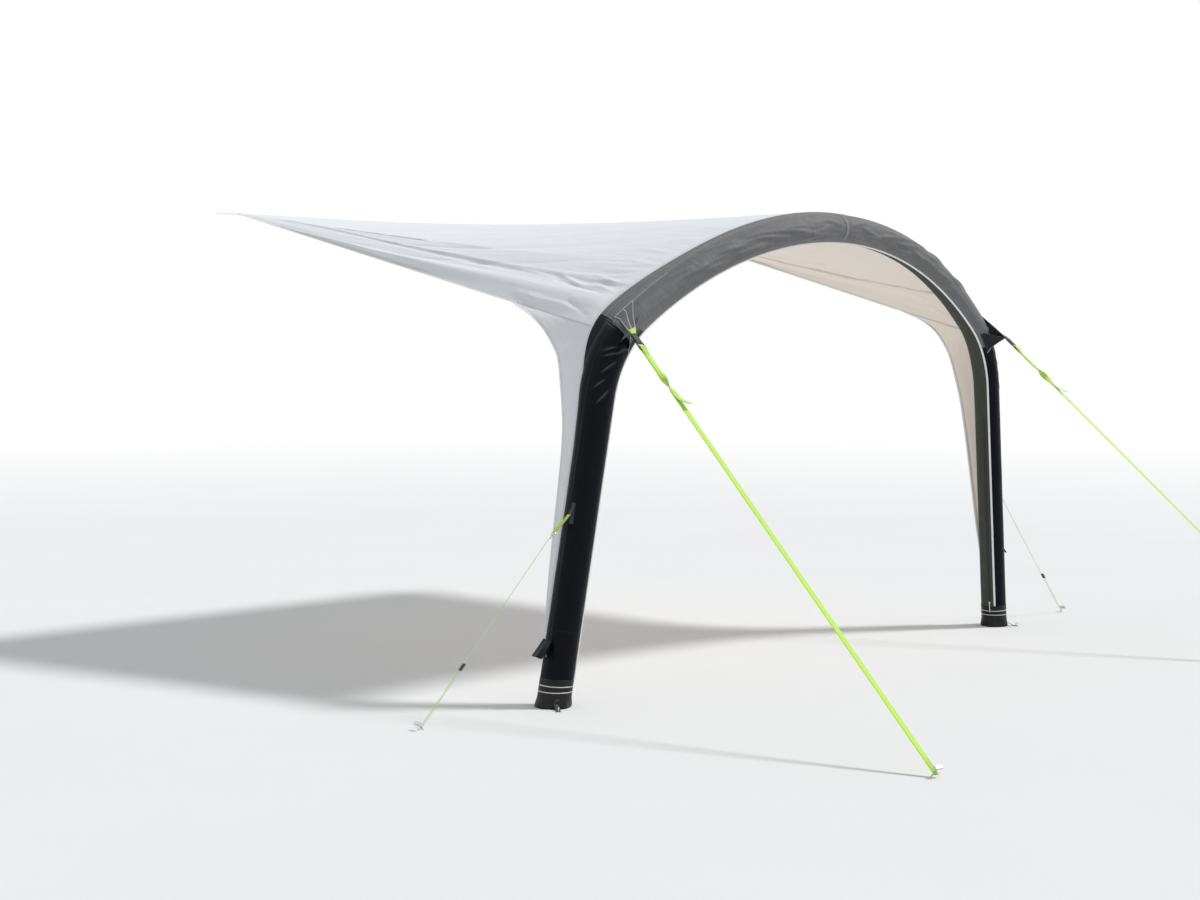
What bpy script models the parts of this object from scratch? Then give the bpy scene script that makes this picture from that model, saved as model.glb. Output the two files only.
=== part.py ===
"""Inflatable sun canopy for the side of a caravan.

The canopy hangs from a bead in the caravan's awning rail and is carried at
the front by one inflated arch. The origin is the middle of the rail bead.
+X runs along the rail, +Y points at the caravan, +Z is up. Metres.
"""

import math

import bmesh
import bpy
from mathutils import Matrix, Vector

# Overall layout
RAIL_HEIGHT = 2.44
HALF_WIDTH = 1.858
HALF_SPAN = 1.85
FOOT_DEPTH = 2.588
APEX_DROP = 0.126
ROOF_RADIUS = 2.306
SHOULDER_RADIUS = 0.60
LEG_LEAN = math.radians(8.75)
LEG_REACH = 0.075
APEX_REACH = 0.215

# Layers of the arch, from the air outwards
BLADDER_RADIUS = 0.0684
BLADDER_WALL = 0.0012
COVER_WALL = 0.0010
SLEEVE_WALL = 0.0015
LAYER_GAP = 0.0005
EAR_LEG = 0.014
EAR_SHOULDER = 0.034
EAR_ROOF = 0.010
EAR_SPREAD = 0.30
APEX_GAP = 0.0006

# Fabric, bindings and the rail bead
SHEET = 0.0010
SEAM_GAP = 0.0012
TAPE_GAP = 0.0006
TOUCH = 0.0004
BEAD_RADIUS = 0.003
BEAD_TAIL = 0.12
TAPE_WIDTH = 0.026
HEM_RADIUS = 0.0022
PIPING_RADIUS = 0.0025
CORNER_WIDTH = 0.030
SEAM_DROP = 0.0015
WING_DEPTH = 0.20
WING_STOP_RUN = 0.32
WING_COLUMNS = 3
WING_LEG_ROWS = 5
HEM_TURN_SHARE = 0.785
HEM_START_SHARE = 0.002
HEM_LEAVE_SHARE = 0.985
WING_SEAM_SHARES = (
    (0.10, 0.10, 0.02, 0.04),
    (0.25, 0.19, 0.05, 0.09),
    (0.50, 0.29, 0.22, 0.24),
    (0.75, 0.37, 0.56, 0.46),
)
WING_LEG_SHARES = (
    (0.00, 0.44, 0.98, 0.72),
    (0.10, 0.10, 0.82, 0.56),
    (0.21, -0.06, 0.65, 0.35),
    (0.43, -0.09, 0.49, 0.15),
    (0.65, -0.06, 0.37, 0.05),
    (0.87, -0.04, 0.22, 0.00),
    (1.00, -0.01, 0.06, 0.00),
)

# Foot
CUFF_TOP = 0.135
CUFF_BOTTOM = 0.0046
CUFF_WALL = 0.0016
SLEEVE_BOTTOM = 0.055
COVER_BOTTOM = 0.030
BLADDER_BOTTOM = 0.032
FOOT_LEVEL_RUN = 0.060
FOOT_SQUARE_RUN = 0.200
PIPING_BOTTOM = 0.139
BAND_HEIGHT = 0.0045
BAND_THICK = 0.0007
BAND_LOWER = 0.060
BAND_UPPER = 0.088
PAD_THICK = 0.0042
PAD_LIP = 0.003

# Inflation valve, left leg
VALVE_RUN = 0.235
VALVE_NECK_RADIUS = 0.0088
VALVE_FLANGE_RADIUS = 0.0120
VALVE_FLANGE = 0.0012
VALVE_COLLAR_RADIUS = 0.0105
VALVE_BORE_RADIUS = 0.0060
VALVE_PROUD = 0.001
VALVE_NECK_DEPTH = 0.004
VALVE_FIT = 0.0004
COVER_HOLE_RADIUS = 0.0165
SLEEVE_HOLE_RADIUS = 0.0190
CAP_RADIUS = 0.0140
CAP_HEIGHT = 0.008
CAP_GRIP_HEIGHT = 0.005
CAP_GRIP_WIDTH = 0.005
CAP_BEVEL = 0.0012

# Relief valve, right leg
RELIEF_RUN = 0.455
RELIEF_SCALE_SHARE = 0.72

# Valve flaps
FLAP_WIDTH = 0.082
FLAP_LENGTH = 0.098
FLAP_THICK = 0.0016
FLAP_HINGE_RISE = 0.075
FLAP_OPEN = math.radians(34)
RELIEF_FLAP_WIDTH = 0.056
RELIEF_FLAP_LENGTH = 0.062
RELIEF_HINGE_RISE = 0.040
RELIEF_FLAP_OPEN = math.radians(30)
FLAP_CURL = 0.006

# Zip on the inner side of each leg
ZIP_WIDTH = 0.014
ZIP_THICK = 0.0012
ZIP_START = 0.150
ZIP_END = 1.30
SLIDER_LENGTH = 0.012
SLIDER_WIDTH = 0.009
SLIDER_THICK = 0.0045
SLIDER_RUN = 0.165
PULL_LENGTH = 0.055
PULL_WIDTH = 0.005
PULL_THICK = 0.0016
PULL_OVERLAP = 0.001

# Shoulder sling, buckle and storm strap
SLING_THICK = 0.0012
SLING_LIFT = 0.0012
SLING_TIP_BACK = 0.004
TIP_OUT = 0.056
TIP_FRONT = 0.151
TIP_DOWN = 0.014
STORM_PEG_FRONT = 2.136
STORM_PEG_INSIDE = 0.049
LINE_GROUND = 0.012
STRAP_WIDTH = 0.030
STRAP_THICK = 0.0014
WEBBING_WIDTH = 0.030
WEBBING_LENGTH = 0.060
BUCKLE_WIDTH = 0.042
BUCKLE_LENGTH = 0.044
BUCKLE_THICK = 0.006
BUCKLE_BAR = 0.004
BUCKLE_SIDE = 0.0045
BUCKLE_BEVEL = 0.0009
STRAP_OFFSET = 0.0046
STRAP_TWIST_START = 0.24
STRAP_TWIST_END = 0.40
TAIL_END = 0.50
TAIL_LAY = 0.0032
TAIL_SPREAD = 0.030
TAIL_DRIFT = 0.017
PEG_FIT = 0.0004
STRAP_EYE_INSET = 0.015

# Lower side guy
RING_OUT = 0.0593
RING_BACK = 0.0459
RING_DOWN = 0.1161
GUY_PEG_OUT = 0.793
GUY_PEG_BACK = 0.022
GUY_PATCH_START = 0.865
GUY_PATCH_END = 0.965
GUY_PATCH_WIDTH = 0.024
RING_WIDTH = 0.0280
RING_CORNER = 0.0030
RING_WIRE = 0.0017
TAB_WIDTH = 0.019
TAB_THICK = 0.0014
TAB_SEWN = 0.036
CORD_RADIUS = 0.0015
KNOT_RADIUS = 0.0034
KNOT_LENGTH = 0.010
KNOT_SHARES = (0.0, 0.25, 0.5, 0.75, 1.0)
RUNNER_LENGTH = 0.038
RUNNER_WIDTH = 0.018
RUNNER_THICK = 0.0072
RUNNER_FROM_PEG = 0.335
RUNNER_HOLE = 0.0018
RUNNER_BEVEL = 0.0012

# Pegs
PEG_RADIUS = 0.0030
PEG_BELOW = 0.230
PEG_ABOVE = 0.022
PEG_POINT = 0.018
PEG_HEAD_WIDTH = 0.040
PEG_HEAD_DEPTH = 0.018
PEG_HEAD_THICK = 0.012
PEG_HEAD_BEVEL = 0.003
LOOP_LIFT = 0.010
FOOT_LOOP_WIDTH = 0.022
FOOT_LOOP_REACH = 0.050
FOOT_LOOP_RISE = 0.050
FOOT_PEG_RADIUS = 0.0025
FOOT_PEG_BELOW = 0.170
FOOT_PEG_HOOK = 0.011

# Smoothness
SIDES = 16
LEG_STEPS = 2
SHOULDER_STEPS = 6
ROOF_STEPS = 9
SIDE_SEAM_STEP = 2
SHOULDER_SEAM_STEP = 4
ROUND_STEPS = 16
STEP_SMALL = 0.002
OVERRUN = 0.02

# Angles around the arch, counted from its inner side towards the front
PIPING_ANGLE_LEG = math.radians(38)
PIPING_ANGLE_APEX = math.radians(12)
SEAM_INDEX = 9
VALVE_INDEX = 7.5
RELIEF_INDEX = 6.5
ZIP_INDEX = 15
GUY_PATCH_INDEX = 6
FOOT_LOOP_INDEX = 4
SLING_OUTER_INDEX = 6
SLING_INNER_INDEX = 2

LINE_SPACING = 2 * (PEG_RADIUS + CORD_RADIUS + TOUCH)
APEX_HEIGHT = RAIL_HEIGHT - APEX_DROP
COVER_RADIUS = BLADDER_RADIUS + LAYER_GAP + COVER_WALL
SLEEVE_RADIUS = COVER_RADIUS + LAYER_GAP + SLEEVE_WALL
GROUND = Vector((0, 0, -RAIL_HEIGHT))
UP = Vector((0, 0, 1))
FRONT = Vector((0, -1, 0))
MIRROR_X = Matrix.Scale(-1, 4, Vector((1, 0, 0)))

FABRIC_LIGHT = ("light_fabric", (0.78, 0.79, 0.81, 1), 0.8, 0.0)
FABRIC_DARK = ("dark_fabric", (0.045, 0.047, 0.052, 1), 0.75, 0.0)
FABRIC_WHITE = ("white_trim", (0.90, 0.90, 0.90, 1), 0.6, 0.0)
COATED_BLACK = ("coated_black", (0.02, 0.02, 0.022, 1), 0.45, 0.0)
SILVER_TAPE = ("reflective_tape", (0.65, 0.66, 0.68, 1), 0.35, 0.3)
CLEAR_FILM = ("bladder_film", (0.75, 0.77, 0.78, 1), 0.35, 0.0)
COVER_CLOTH = ("cover_cloth", (0.25, 0.26, 0.28, 1), 0.8, 0.0)
BLACK_PLASTIC = ("black_plastic", (0.02, 0.02, 0.02, 1), 0.4, 0.0)
GREY_PLASTIC = ("grey_plastic", (0.30, 0.31, 0.33, 1), 0.45, 0.0)
LIME_WEBBING = ("lime_webbing", (0.30, 0.72, 0.02, 1), 0.7, 0.0)
BLACK_WEBBING = ("black_webbing", (0.02, 0.02, 0.02, 1), 0.8, 0.0)
STEEL = ("steel", (0.60, 0.61, 0.63, 1), 0.35, 1.0)


def clear_scene():
    """Remove whatever the file holds."""
    for thing in list(bpy.data.objects):
        bpy.data.objects.remove(thing, do_unlink=True)


def material(finish):
    """One Principled material for each finish."""
    name, colour, roughness, metallic = finish
    found = bpy.data.materials.get(name)
    if found:
        return found
    made = bpy.data.materials.new(name)
    made.use_nodes = True
    shader = made.node_tree.nodes["Principled BSDF"]
    shader.inputs["Base Color"].default_value = colour
    shader.inputs["Roughness"].default_value = roughness
    shader.inputs["Metallic"].default_value = metallic
    return made


def add_object(name, mesh, finish, smooth=True):
    """Link a mesh as one named sub-part."""
    made = bpy.data.objects.new(name, mesh)
    mesh.materials.append(material(finish))
    if smooth:
        mesh.shade_smooth()
        mesh.set_sharp_from_angle(angle=math.radians(35))
    bpy.context.scene.collection.objects.link(made)
    return made


def mesh_of(name, points, faces):
    """Mesh from points and faces, with its faces turned outwards."""
    work = bmesh.new()
    corners = [work.verts.new(point) for point in points]
    for face in faces:
        work.faces.new([corners[index] for index in face])
    bmesh.ops.recalc_face_normals(work, faces=work.faces)
    mesh = bpy.data.meshes.new(name)
    work.to_mesh(mesh)
    work.free()
    return mesh


def finish_bmesh(name, work):
    """Turn a bmesh into a mesh with outward faces."""
    bmesh.ops.recalc_face_normals(work, faces=work.faces)
    mesh = bpy.data.meshes.new(name)
    work.to_mesh(mesh)
    work.free()
    return mesh


def mirrored_mesh(mesh, name):
    """Copy of a mesh, reflected to the right-hand side."""
    work = bmesh.new()
    work.from_mesh(mesh)
    bmesh.ops.transform(work, matrix=MIRROR_X, verts=work.verts)
    bmesh.ops.reverse_faces(work, faces=work.faces)
    copy = bpy.data.meshes.new(name)
    work.to_mesh(copy)
    work.free()
    return copy


def add_pair(stem, mesh, finish, smooth=True):
    """The same piece on the left and on the right."""
    mirror = mirrored_mesh(mesh, stem + "_right")
    left = add_object(stem + "_left", mesh, finish, smooth)
    right = add_object(stem + "_right", mirror, finish, smooth)
    return left, right


def set_pivot(thing, place):
    """Put an object's origin at a place without moving its shape."""
    thing.data.transform(Matrix.Translation(-place))
    thing.location = place


def set_pivots(pair, place):
    """The same for a left and right pair."""
    left, right = pair
    set_pivot(left, place)
    set_pivot(right, MIRROR_X @ place)


def on_ground(point):
    """World place of a point whose height is counted from the ground."""
    return Vector(point) + GROUND


# Centre line of the arch
def arch_outline():
    """Tangent arcs of one half of the arch: leg, shoulder and roof."""
    roof_centre = Vector((0, APEX_HEIGHT - ROOF_RADIUS))
    foot = Vector((HALF_SPAN, 0))
    along = Vector((-math.sin(LEG_LEAN), math.cos(LEG_LEAN)))
    inwards = Vector((-math.cos(LEG_LEAN), -math.sin(LEG_LEAN)))
    offset = foot + SHOULDER_RADIUS * inwards - roof_centre
    reach = (ROOF_RADIUS - SHOULDER_RADIUS) ** 2
    middle = offset.dot(along)
    leg = -middle + math.sqrt(middle ** 2 - offset.dot(offset) + reach)
    shoulder_centre = roof_centre + offset + leg * along
    swing = shoulder_centre - roof_centre
    roof_angle = math.atan2(swing.x, swing.y)
    shoulder_angle = math.pi / 2 - LEG_LEAN - roof_angle
    return roof_centre, foot, along, leg, shoulder_centre, roof_angle, shoulder_angle


ROOF_CENTRE, FOOT, ALONG_LEG, LEG_RUN, SHOULDER_CENTRE, ROOF_ANGLE, SHOULDER_ANGLE = arch_outline()
SHOULDER_RUN = SHOULDER_RADIUS * SHOULDER_ANGLE
ROOF_RUN = ROOF_RADIUS * ROOF_ANGLE
HALF_RUN = LEG_RUN + SHOULDER_RUN + ROOF_RUN
SIDE_SEAM_RUN = LEG_RUN + SHOULDER_RUN + ROOF_RUN * SIDE_SEAM_STEP / ROOF_STEPS
SHOULDER_SEAM = LEG_RUN + SHOULDER_RUN * SHOULDER_SEAM_STEP / SHOULDER_STEPS


def reach_out(run):
    """How far the arch stands in front of its feet, at a run along it."""
    if run <= LEG_RUN:
        return LEG_REACH * run / LEG_RUN
    upper = HALF_RUN - LEG_RUN
    share = (run - LEG_RUN) / upper
    start_slope = LEG_REACH / LEG_RUN * upper
    keep = 2 * share ** 3 - 3 * share ** 2 + 1
    slope = share ** 3 - 2 * share ** 2 + share
    return keep * LEG_REACH + slope * start_slope + (1 - keep) * APEX_REACH


def centre(run):
    """Point on the left half's centre line; past the apex it is the right half's."""
    if run > HALF_RUN:
        other = centre(2 * HALF_RUN - run)
        return Vector((-other.x, other.y, other.z))
    if run < LEG_RUN:
        flat = FOOT + run * ALONG_LEG
    elif run < LEG_RUN + SHOULDER_RUN:
        angle = math.pi / 2 - LEG_LEAN - (run - LEG_RUN) / SHOULDER_RADIUS
        flat = SHOULDER_CENTRE + SHOULDER_RADIUS * Vector((math.sin(angle), math.cos(angle)))
    else:
        angle = (HALF_RUN - run) / ROOF_RADIUS
        flat = ROOF_CENTRE + ROOF_RADIUS * Vector((math.sin(angle), math.cos(angle)))
    return on_ground((-flat.x, -FOOT_DEPTH - reach_out(run), flat.y))


def arch_frame(run):
    """Centre, tangent, inward and front directions at a run along the arch."""
    middle = centre(run)
    tangent = (centre(run + STEP_SMALL) - centre(run - STEP_SMALL)).normalized()
    front = (FRONT - FRONT.dot(tangent) * tangent).normalized()
    inward = tangent.cross(front)
    return middle, tangent, inward, front


def smooth_step(value):
    """Ease from 0 to 1."""
    value = min(max(value, 0), 1)
    return value * value * (3 - 2 * value)


def piping_angle(run):
    """The piping sits forward on the legs and nearly underneath at the apex."""
    share = smooth_step((run - LEG_RUN) / (HALF_RUN - LEG_RUN))
    return PIPING_ANGLE_LEG + (PIPING_ANGLE_APEX - PIPING_ANGLE_LEG) * share


def ear(run):
    """How far the sleeve is drawn out towards the roof seam."""
    top = LEG_RUN + SHOULDER_RUN / 2
    bump = math.exp(-((run - top) / EAR_SPREAD) ** 2)
    base = EAR_LEG if run < top else EAR_ROOF
    return base + (EAR_SHOULDER - base) * bump


def sleeve_radius(index, run):
    """Outer radius of the sleeve at one of its corner lines."""
    turn = (index - SEAM_INDEX) * 2 * math.pi / SIDES
    lobe = max(0.0, math.cos(turn)) ** 4
    return SLEEVE_RADIUS + ear(run) * lobe


def around(run, index, radius):
    """Point at a radius, a run along the arch and a corner index round it."""
    middle, tangent, inward, front = arch_frame(run)
    angle = piping_angle(run) + index * 2 * math.pi / SIDES
    spoke = math.cos(angle) * inward + math.sin(angle) * front
    point = middle + radius * spoke
    flatten = (FOOT_SQUARE_RUN - run) / (FOOT_SQUARE_RUN - FOOT_LEVEL_RUN)
    flatten = min(max(flatten, 0), 1)
    shift = -(point.z - middle.z) / tangent.z if flatten > 0 else 0
    return point + flatten * shift * tangent


def spoke_at(run, index):
    """Outward direction at a corner index."""
    middle, tangent, inward, front = arch_frame(run)
    angle = piping_angle(run) + index * 2 * math.pi / SIDES
    return math.cos(angle) * inward + math.sin(angle) * front


def inner_stations():
    """Runs of the rings between the two ends of half an arch."""
    leg = LEG_RUN - FOOT_SQUARE_RUN
    runs = [FOOT_LEVEL_RUN]
    runs += [FOOT_SQUARE_RUN + leg * step / LEG_STEPS for step in range(LEG_STEPS)]
    runs += [LEG_RUN + SHOULDER_RUN * step / SHOULDER_STEPS for step in range(SHOULDER_STEPS)]
    roof_start = LEG_RUN + SHOULDER_RUN
    runs += [roof_start + ROOF_RUN * step / ROOF_STEPS for step in range(ROOF_STEPS)]
    return runs


STATIONS = [0.0] + inner_stations() + [HALF_RUN]


def half_stations(start, end):
    """Runs of the rings from a start near the foot to an end near the apex."""
    return [start] + inner_stations() + [end]


def on_sleeve(run, index, offset):
    """Point at an offset from the sleeve, on the straight between two rings."""
    place = max(step for step in range(len(STATIONS) - 1) if STATIONS[step] <= run)
    low = STATIONS[place]
    high = STATIONS[place + 1]
    first = around(low, index, sleeve_radius(index, low) + offset)
    second = around(high, index, sleeve_radius(index, high) + offset)
    return first.lerp(second, (run - low) / (high - low))


def bridge_rings(count, runs, closed=False):
    """Triangles between neighbouring rings, split the same way along the arch."""
    total = len(runs)
    faces = []
    last = total if closed else total - 1
    for row in range(last):
        following = (row + 1) % total
        low = row * count
        high = following * count
        rising = runs[following] > runs[row]
        for step in range(count):
            after = (step + 1) % count
            first, second, third, fourth = low + step, low + after, high + after, high + step
            if rising:
                faces += [(first, second, third), (first, third, fourth)]
            else:
                faces += [(first, second, fourth), (second, third, fourth)]
    return faces


def open_tube(name, outer, inner, runs):
    """Tube wall between outer and inner rings, open at both ends."""
    rings = outer + inner[::-1]
    points = [point for ring in rings for point in ring]
    return mesh_of(name, points, bridge_rings(len(rings[0]), runs + runs[::-1], closed=True))


def closed_tube(rings, runs):
    """Points and faces of a tube with flat ends."""
    points = [point for ring in rings for point in ring]
    count = len(rings[0])
    faces = bridge_rings(count, runs)
    faces.append(tuple(range(count)))
    faces.append(tuple(range(len(points) - count, len(points))))
    return points, faces


def ring_at(run, radius):
    """Round ring about the centre line."""
    return [around(run, index, radius) for index in range(SIDES)]


def sleeve_ring(run, offset):
    """Ring that follows the sleeve's drawn-out section, at an offset from it."""
    return [around(run, index, sleeve_radius(index, run) + offset) for index in range(SIDES)]


def across(rings):
    """The rings of the left half, then those of the right half in order."""
    flip = [[MIRROR_X @ point for point in ring] for ring in rings[-2::-1]]
    return rings + flip


def across_runs(runs):
    """Runs from one foot up to the apex and down to the other foot."""
    return runs + runs[-2::-1]


def solidify(thing, thickness):
    """Give a sheet its thickness, half to each side."""
    wall = thing.modifiers.new("thickness", "SOLIDIFY")
    wall.thickness = thickness
    wall.offset = 0
    wall.use_even_offset = True
    return thing


def soften(thing, width, segments=2):
    """Round the edges of a moulded piece."""
    edge = thing.modifiers.new("edges", "BEVEL")
    edge.width = width
    edge.segments = segments
    edge.limit_method = "ANGLE"
    edge.angle_limit = math.radians(40)
    return thing


def cut(thing, cutter):
    """Take a cutter's shape out of a piece."""
    hole = thing.modifiers.new("cut", "BOOLEAN")
    hole.operation = "DIFFERENCE"
    hole.solver = "EXACT"
    hole.object = cutter
    cutter.hide_render = True
    cutter.display_type = "WIRE"


def sheet_grid(name, rows):
    """Open sheet from rows of points."""
    count = len(rows[0])
    points = [point for row in rows for point in row]
    faces = []
    for row in range(len(rows) - 1):
        for step in range(count - 1):
            low = row * count + step
            faces.append((low, low + 1, low + count + 1, low + count))
    mesh = bpy.data.meshes.new(name)
    mesh.from_pydata(points, [], faces)
    return mesh


def turned(name, profile, place, axis):
    """Solid turned from (radius, height) pairs about an axis through a place."""
    work = bmesh.new()
    line = [work.verts.new((radius, 0, height)) for radius, height in profile]
    edges = [work.edges.new(pair) for pair in zip(line, line[1:] + line[:1])]
    bmesh.ops.spin(
        work, geom=line + edges, cent=(0, 0, 0), axis=(0, 0, 1),
        angle=2 * math.pi, steps=ROUND_STEPS, use_merge=True,
    )
    bmesh.ops.remove_doubles(work, verts=work.verts, dist=0.00001)
    turn = axis.to_track_quat("Z", "Y").to_matrix().to_4x4()
    bmesh.ops.transform(work, matrix=Matrix.Translation(place) @ turn, verts=work.verts)
    return finish_bmesh(name, work)


def axes_matrix(place, along_x, along_y, along_z):
    """Matrix that carries local axes to three world directions at a place."""
    turn = Matrix((along_x, along_y, along_z)).transposed().to_4x4()
    return Matrix.Translation(place) @ turn


def box(name, size, frame, centre_at=(0, 0, 0)):
    """Box of a size, centred at a local point of a frame."""
    work = bmesh.new()
    bmesh.ops.create_cube(work, size=1)
    bmesh.ops.scale(work, vec=size, verts=work.verts)
    bmesh.ops.translate(work, vec=centre_at, verts=work.verts)
    bmesh.ops.transform(work, matrix=frame, verts=work.verts)
    return finish_bmesh(name, work)


def rod(name, start, end, radius, steps=ROUND_STEPS):
    """Straight round bar between two points."""
    axis = (end - start).normalized()
    length = (end - start).length
    return turned_rod(name, start, axis, length, radius, steps)


def turned_rod(name, start, axis, length, radius, steps):
    """Round bar of a length from a start point."""
    work = bmesh.new()
    bmesh.ops.create_cone(
        work, cap_ends=True, segments=steps, radius1=radius, radius2=radius, depth=length,
    )
    turn = axis.to_track_quat("Z", "Y").to_matrix().to_4x4()
    middle = start + axis * length / 2
    bmesh.ops.transform(work, matrix=Matrix.Translation(middle) @ turn, verts=work.verts)
    return finish_bmesh(name, work)


def cord(name, route, radius, finish, resolution=2, thick=None):
    """Round cord along a route of points, with filled ends."""
    line = bpy.data.curves.new(name, "CURVE")
    line.dimensions = "3D"
    line.bevel_depth = radius
    line.bevel_resolution = resolution
    line.use_fill_caps = True
    line.render_resolution_u = 0
    spline = line.splines.new("POLY")
    spline.points.add(len(route) - 1)
    for point, place in zip(spline.points, route):
        point.co = (*place, 1)
    if thick:
        spline.points.foreach_set("radius", thick)
    line.materials.append(material(finish))
    made = bpy.data.objects.new(name, line)
    bpy.context.scene.collection.objects.link(made)
    return made


def cord_pair(stem, route, radius, finish, resolution=2, thick=None):
    """The same cord on both sides."""
    left = cord(stem + "_left", route, radius, finish, resolution, thick)
    right = cord(stem + "_right", [MIRROR_X @ point for point in route], radius, finish, resolution, thick)
    return left, right


def ribbon(name, route, widths, thickness, turn_row=None):
    """Flat strip along a route; each width is a vector across the strip.

    Both faces are split along the same diagonals. From the turn row, where the strip comes back
    beside itself, they are split the other way, so that the two layers match.
    """
    points = []
    for step, (place, side) in enumerate(zip(route, widths)):
        before = route[max(step - 1, 0)]
        after = route[min(step + 1, len(route) - 1)]
        ahead = (after - before).normalized()
        lift = ahead.cross(side).normalized() * thickness / 2
        half = side / 2
        points += [place - half - lift, place + half - lift, place + half + lift, place - half + lift]
    last = 4 * (len(route) - 1)
    faces = [(3, 2, 1, 0), (last, last + 1, last + 2, last + 3)]
    for row in range(len(route) - 1):
        back_low, front_low, front_top, back_top = range(4 * row, 4 * row + 4)
        next_back_low, next_front_low, next_front_top, next_back_top = range(4 * row + 4, 4 * row + 8)
        faces.append((front_low, front_top, next_front_top, next_front_low))
        faces.append((back_top, back_low, next_back_low, next_back_top))
        if turn_row is None or row < turn_row:
            faces += [(back_low, front_low, next_front_low), (back_low, next_front_low, next_back_low)]
            faces += [(front_top, back_top, next_front_top), (back_top, next_back_top, next_front_top)]
        else:
            faces += [(back_low, front_low, next_back_low), (front_low, next_front_low, next_back_low)]
            faces += [(front_top, back_top, next_back_top), (front_top, next_back_top, next_front_top)]
    return mesh_of(name, points, faces)


# Arch layers
def build_arch():
    """Bladder, its cover, and the two sleeve halves."""
    cover_inner = COVER_RADIUS - COVER_WALL
    runs = half_stations(BLADDER_BOTTOM, HALF_RUN)
    hollow_runs = half_stations(BLADDER_BOTTOM + BLADDER_WALL, HALF_RUN)
    bladder_rings = across([ring_at(run, BLADDER_RADIUS) for run in runs])
    hollow_rings = across([ring_at(run, BLADDER_RADIUS - BLADDER_WALL) for run in hollow_runs])
    points, faces = closed_tube(bladder_rings, across_runs(runs))
    inner_points, inner_faces = closed_tube(hollow_rings, across_runs(hollow_runs))
    shift = len(points)
    faces = faces + [tuple(index + shift for index in face) for face in inner_faces]
    outer_count = len(faces) - len(inner_faces)
    work = bmesh.new()
    corners = [work.verts.new(point) for point in points + inner_points]
    made = [work.faces.new([corners[index] for index in face]) for face in faces]
    bmesh.ops.recalc_face_normals(work, faces=made[:outer_count])
    bmesh.ops.recalc_face_normals(work, faces=made[outer_count:])
    bmesh.ops.reverse_faces(work, faces=made[outer_count:])
    mesh = bpy.data.meshes.new("air_bladder")
    work.to_mesh(mesh)
    work.free()
    bladder = add_object("air_bladder", mesh, CLEAR_FILM)

    cover_runs = half_stations(COVER_BOTTOM, HALF_RUN)
    cover_mesh = open_tube(
        "bladder_cover",
        across([ring_at(run, COVER_RADIUS) for run in cover_runs]),
        across([ring_at(run, cover_inner) for run in cover_runs]),
        across_runs(cover_runs),
    )
    cover = add_object("bladder_cover", cover_mesh, COVER_CLOTH)

    sleeve_runs = half_stations(SLEEVE_BOTTOM, HALF_RUN - APEX_GAP / 2)
    sleeve_mesh = open_tube(
        "arch_sleeve_left",
        [sleeve_ring(run, 0) for run in sleeve_runs],
        [sleeve_ring(run, -SLEEVE_WALL) for run in sleeve_runs],
        sleeve_runs,
    )
    sleeves = add_pair("arch_sleeve", sleeve_mesh, FABRIC_DARK)
    return bladder, cover, sleeves


def build_apex_tape():
    """Stitched tape over the front of the joint between the sleeve halves."""
    half = TAPE_WIDTH / 2
    rows = []
    for run in (HALF_RUN - half, HALF_RUN, HALF_RUN + half):
        mirror = run > HALF_RUN
        at = 2 * HALF_RUN - run if mirror else run
        row = [on_sleeve(at, index, TOUCH + SHEET / 2) for index in range(1, SEAM_INDEX)]
        rows.append([MIRROR_X @ point for point in row] if mirror else row)
    solidify(add_object("apex_seam_tape", sheet_grid("apex_seam_tape", rows), FABRIC_DARK), SHEET)


def build_piping():
    """White piping down the inner front edge of each sleeve half."""
    runs = [PIPING_BOTTOM] + [run for run in half_stations(SLEEVE_BOTTOM, HALF_RUN - APEX_GAP) if run > PIPING_BOTTOM]
    route = [on_sleeve(run, 0, TOUCH + PIPING_RADIUS) for run in runs]
    cord_pair("arch_piping", route, PIPING_RADIUS, FABRIC_WHITE)


# Canopy fabric
def front_edge(run):
    """Where the canopy meets the sleeve's drawn-out seam."""
    return on_sleeve(run, SEAM_INDEX, SEAM_GAP)


def rail_edge(across_rail):
    """Point on the canopy's rear edge, just below the bead tape."""
    return Vector((across_rail, -BEAD_RADIUS - TOUCH - TAPE_WIDTH - TAPE_GAP, 0))


def corner_point():
    """Outer end of the canopy's rear edge."""
    return rail_edge(-HALF_WIDTH)


def build_roof():
    """Centre panel between the two long seams."""
    rows_down = 8
    half_rail = HALF_WIDTH - CORNER_WIDTH - SEAM_GAP
    start = SIDE_SEAM_RUN + SEAM_GAP
    runs = [start] + [run for run in STATIONS if run > start]
    width = HALF_RUN - start
    rows = []
    for row in range(rows_down + 1):
        down = row / rows_down
        line = []
        for run in runs:
            rear = rail_edge(-half_rail * (HALF_RUN - run) / width)
            line.append(rear.lerp(front_edge(run), down))
        line += [MIRROR_X @ point for point in line[-2::-1]]
        rows.append(line)
    solidify(add_object("roof_panel", sheet_grid("roof_panel", rows), FABRIC_LIGHT), SHEET)


def build_side_panels():
    """Long triangle from the rail corner to the shoulder, on each side."""
    rows_down = 8
    end = SIDE_SEAM_RUN - SEAM_GAP
    runs = [run for run in STATIONS if SHOULDER_SEAM <= run < end] + [end]
    rows = []
    for row in range(rows_down + 1):
        down = row / rows_down
        line = []
        for run in runs:
            share = (run - SHOULDER_SEAM) / (end - SHOULDER_SEAM)
            rear = rail_edge(-HALF_WIDTH + CORNER_WIDTH * share)
            line.append(rear.lerp(front_edge(run), down))
        rows.append(line)
    left, right = add_pair("side_panel", sheet_grid("side_panel_left", rows), FABRIC_LIGHT)
    solidify(left, SHEET)
    solidify(right, SHEET)


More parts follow.
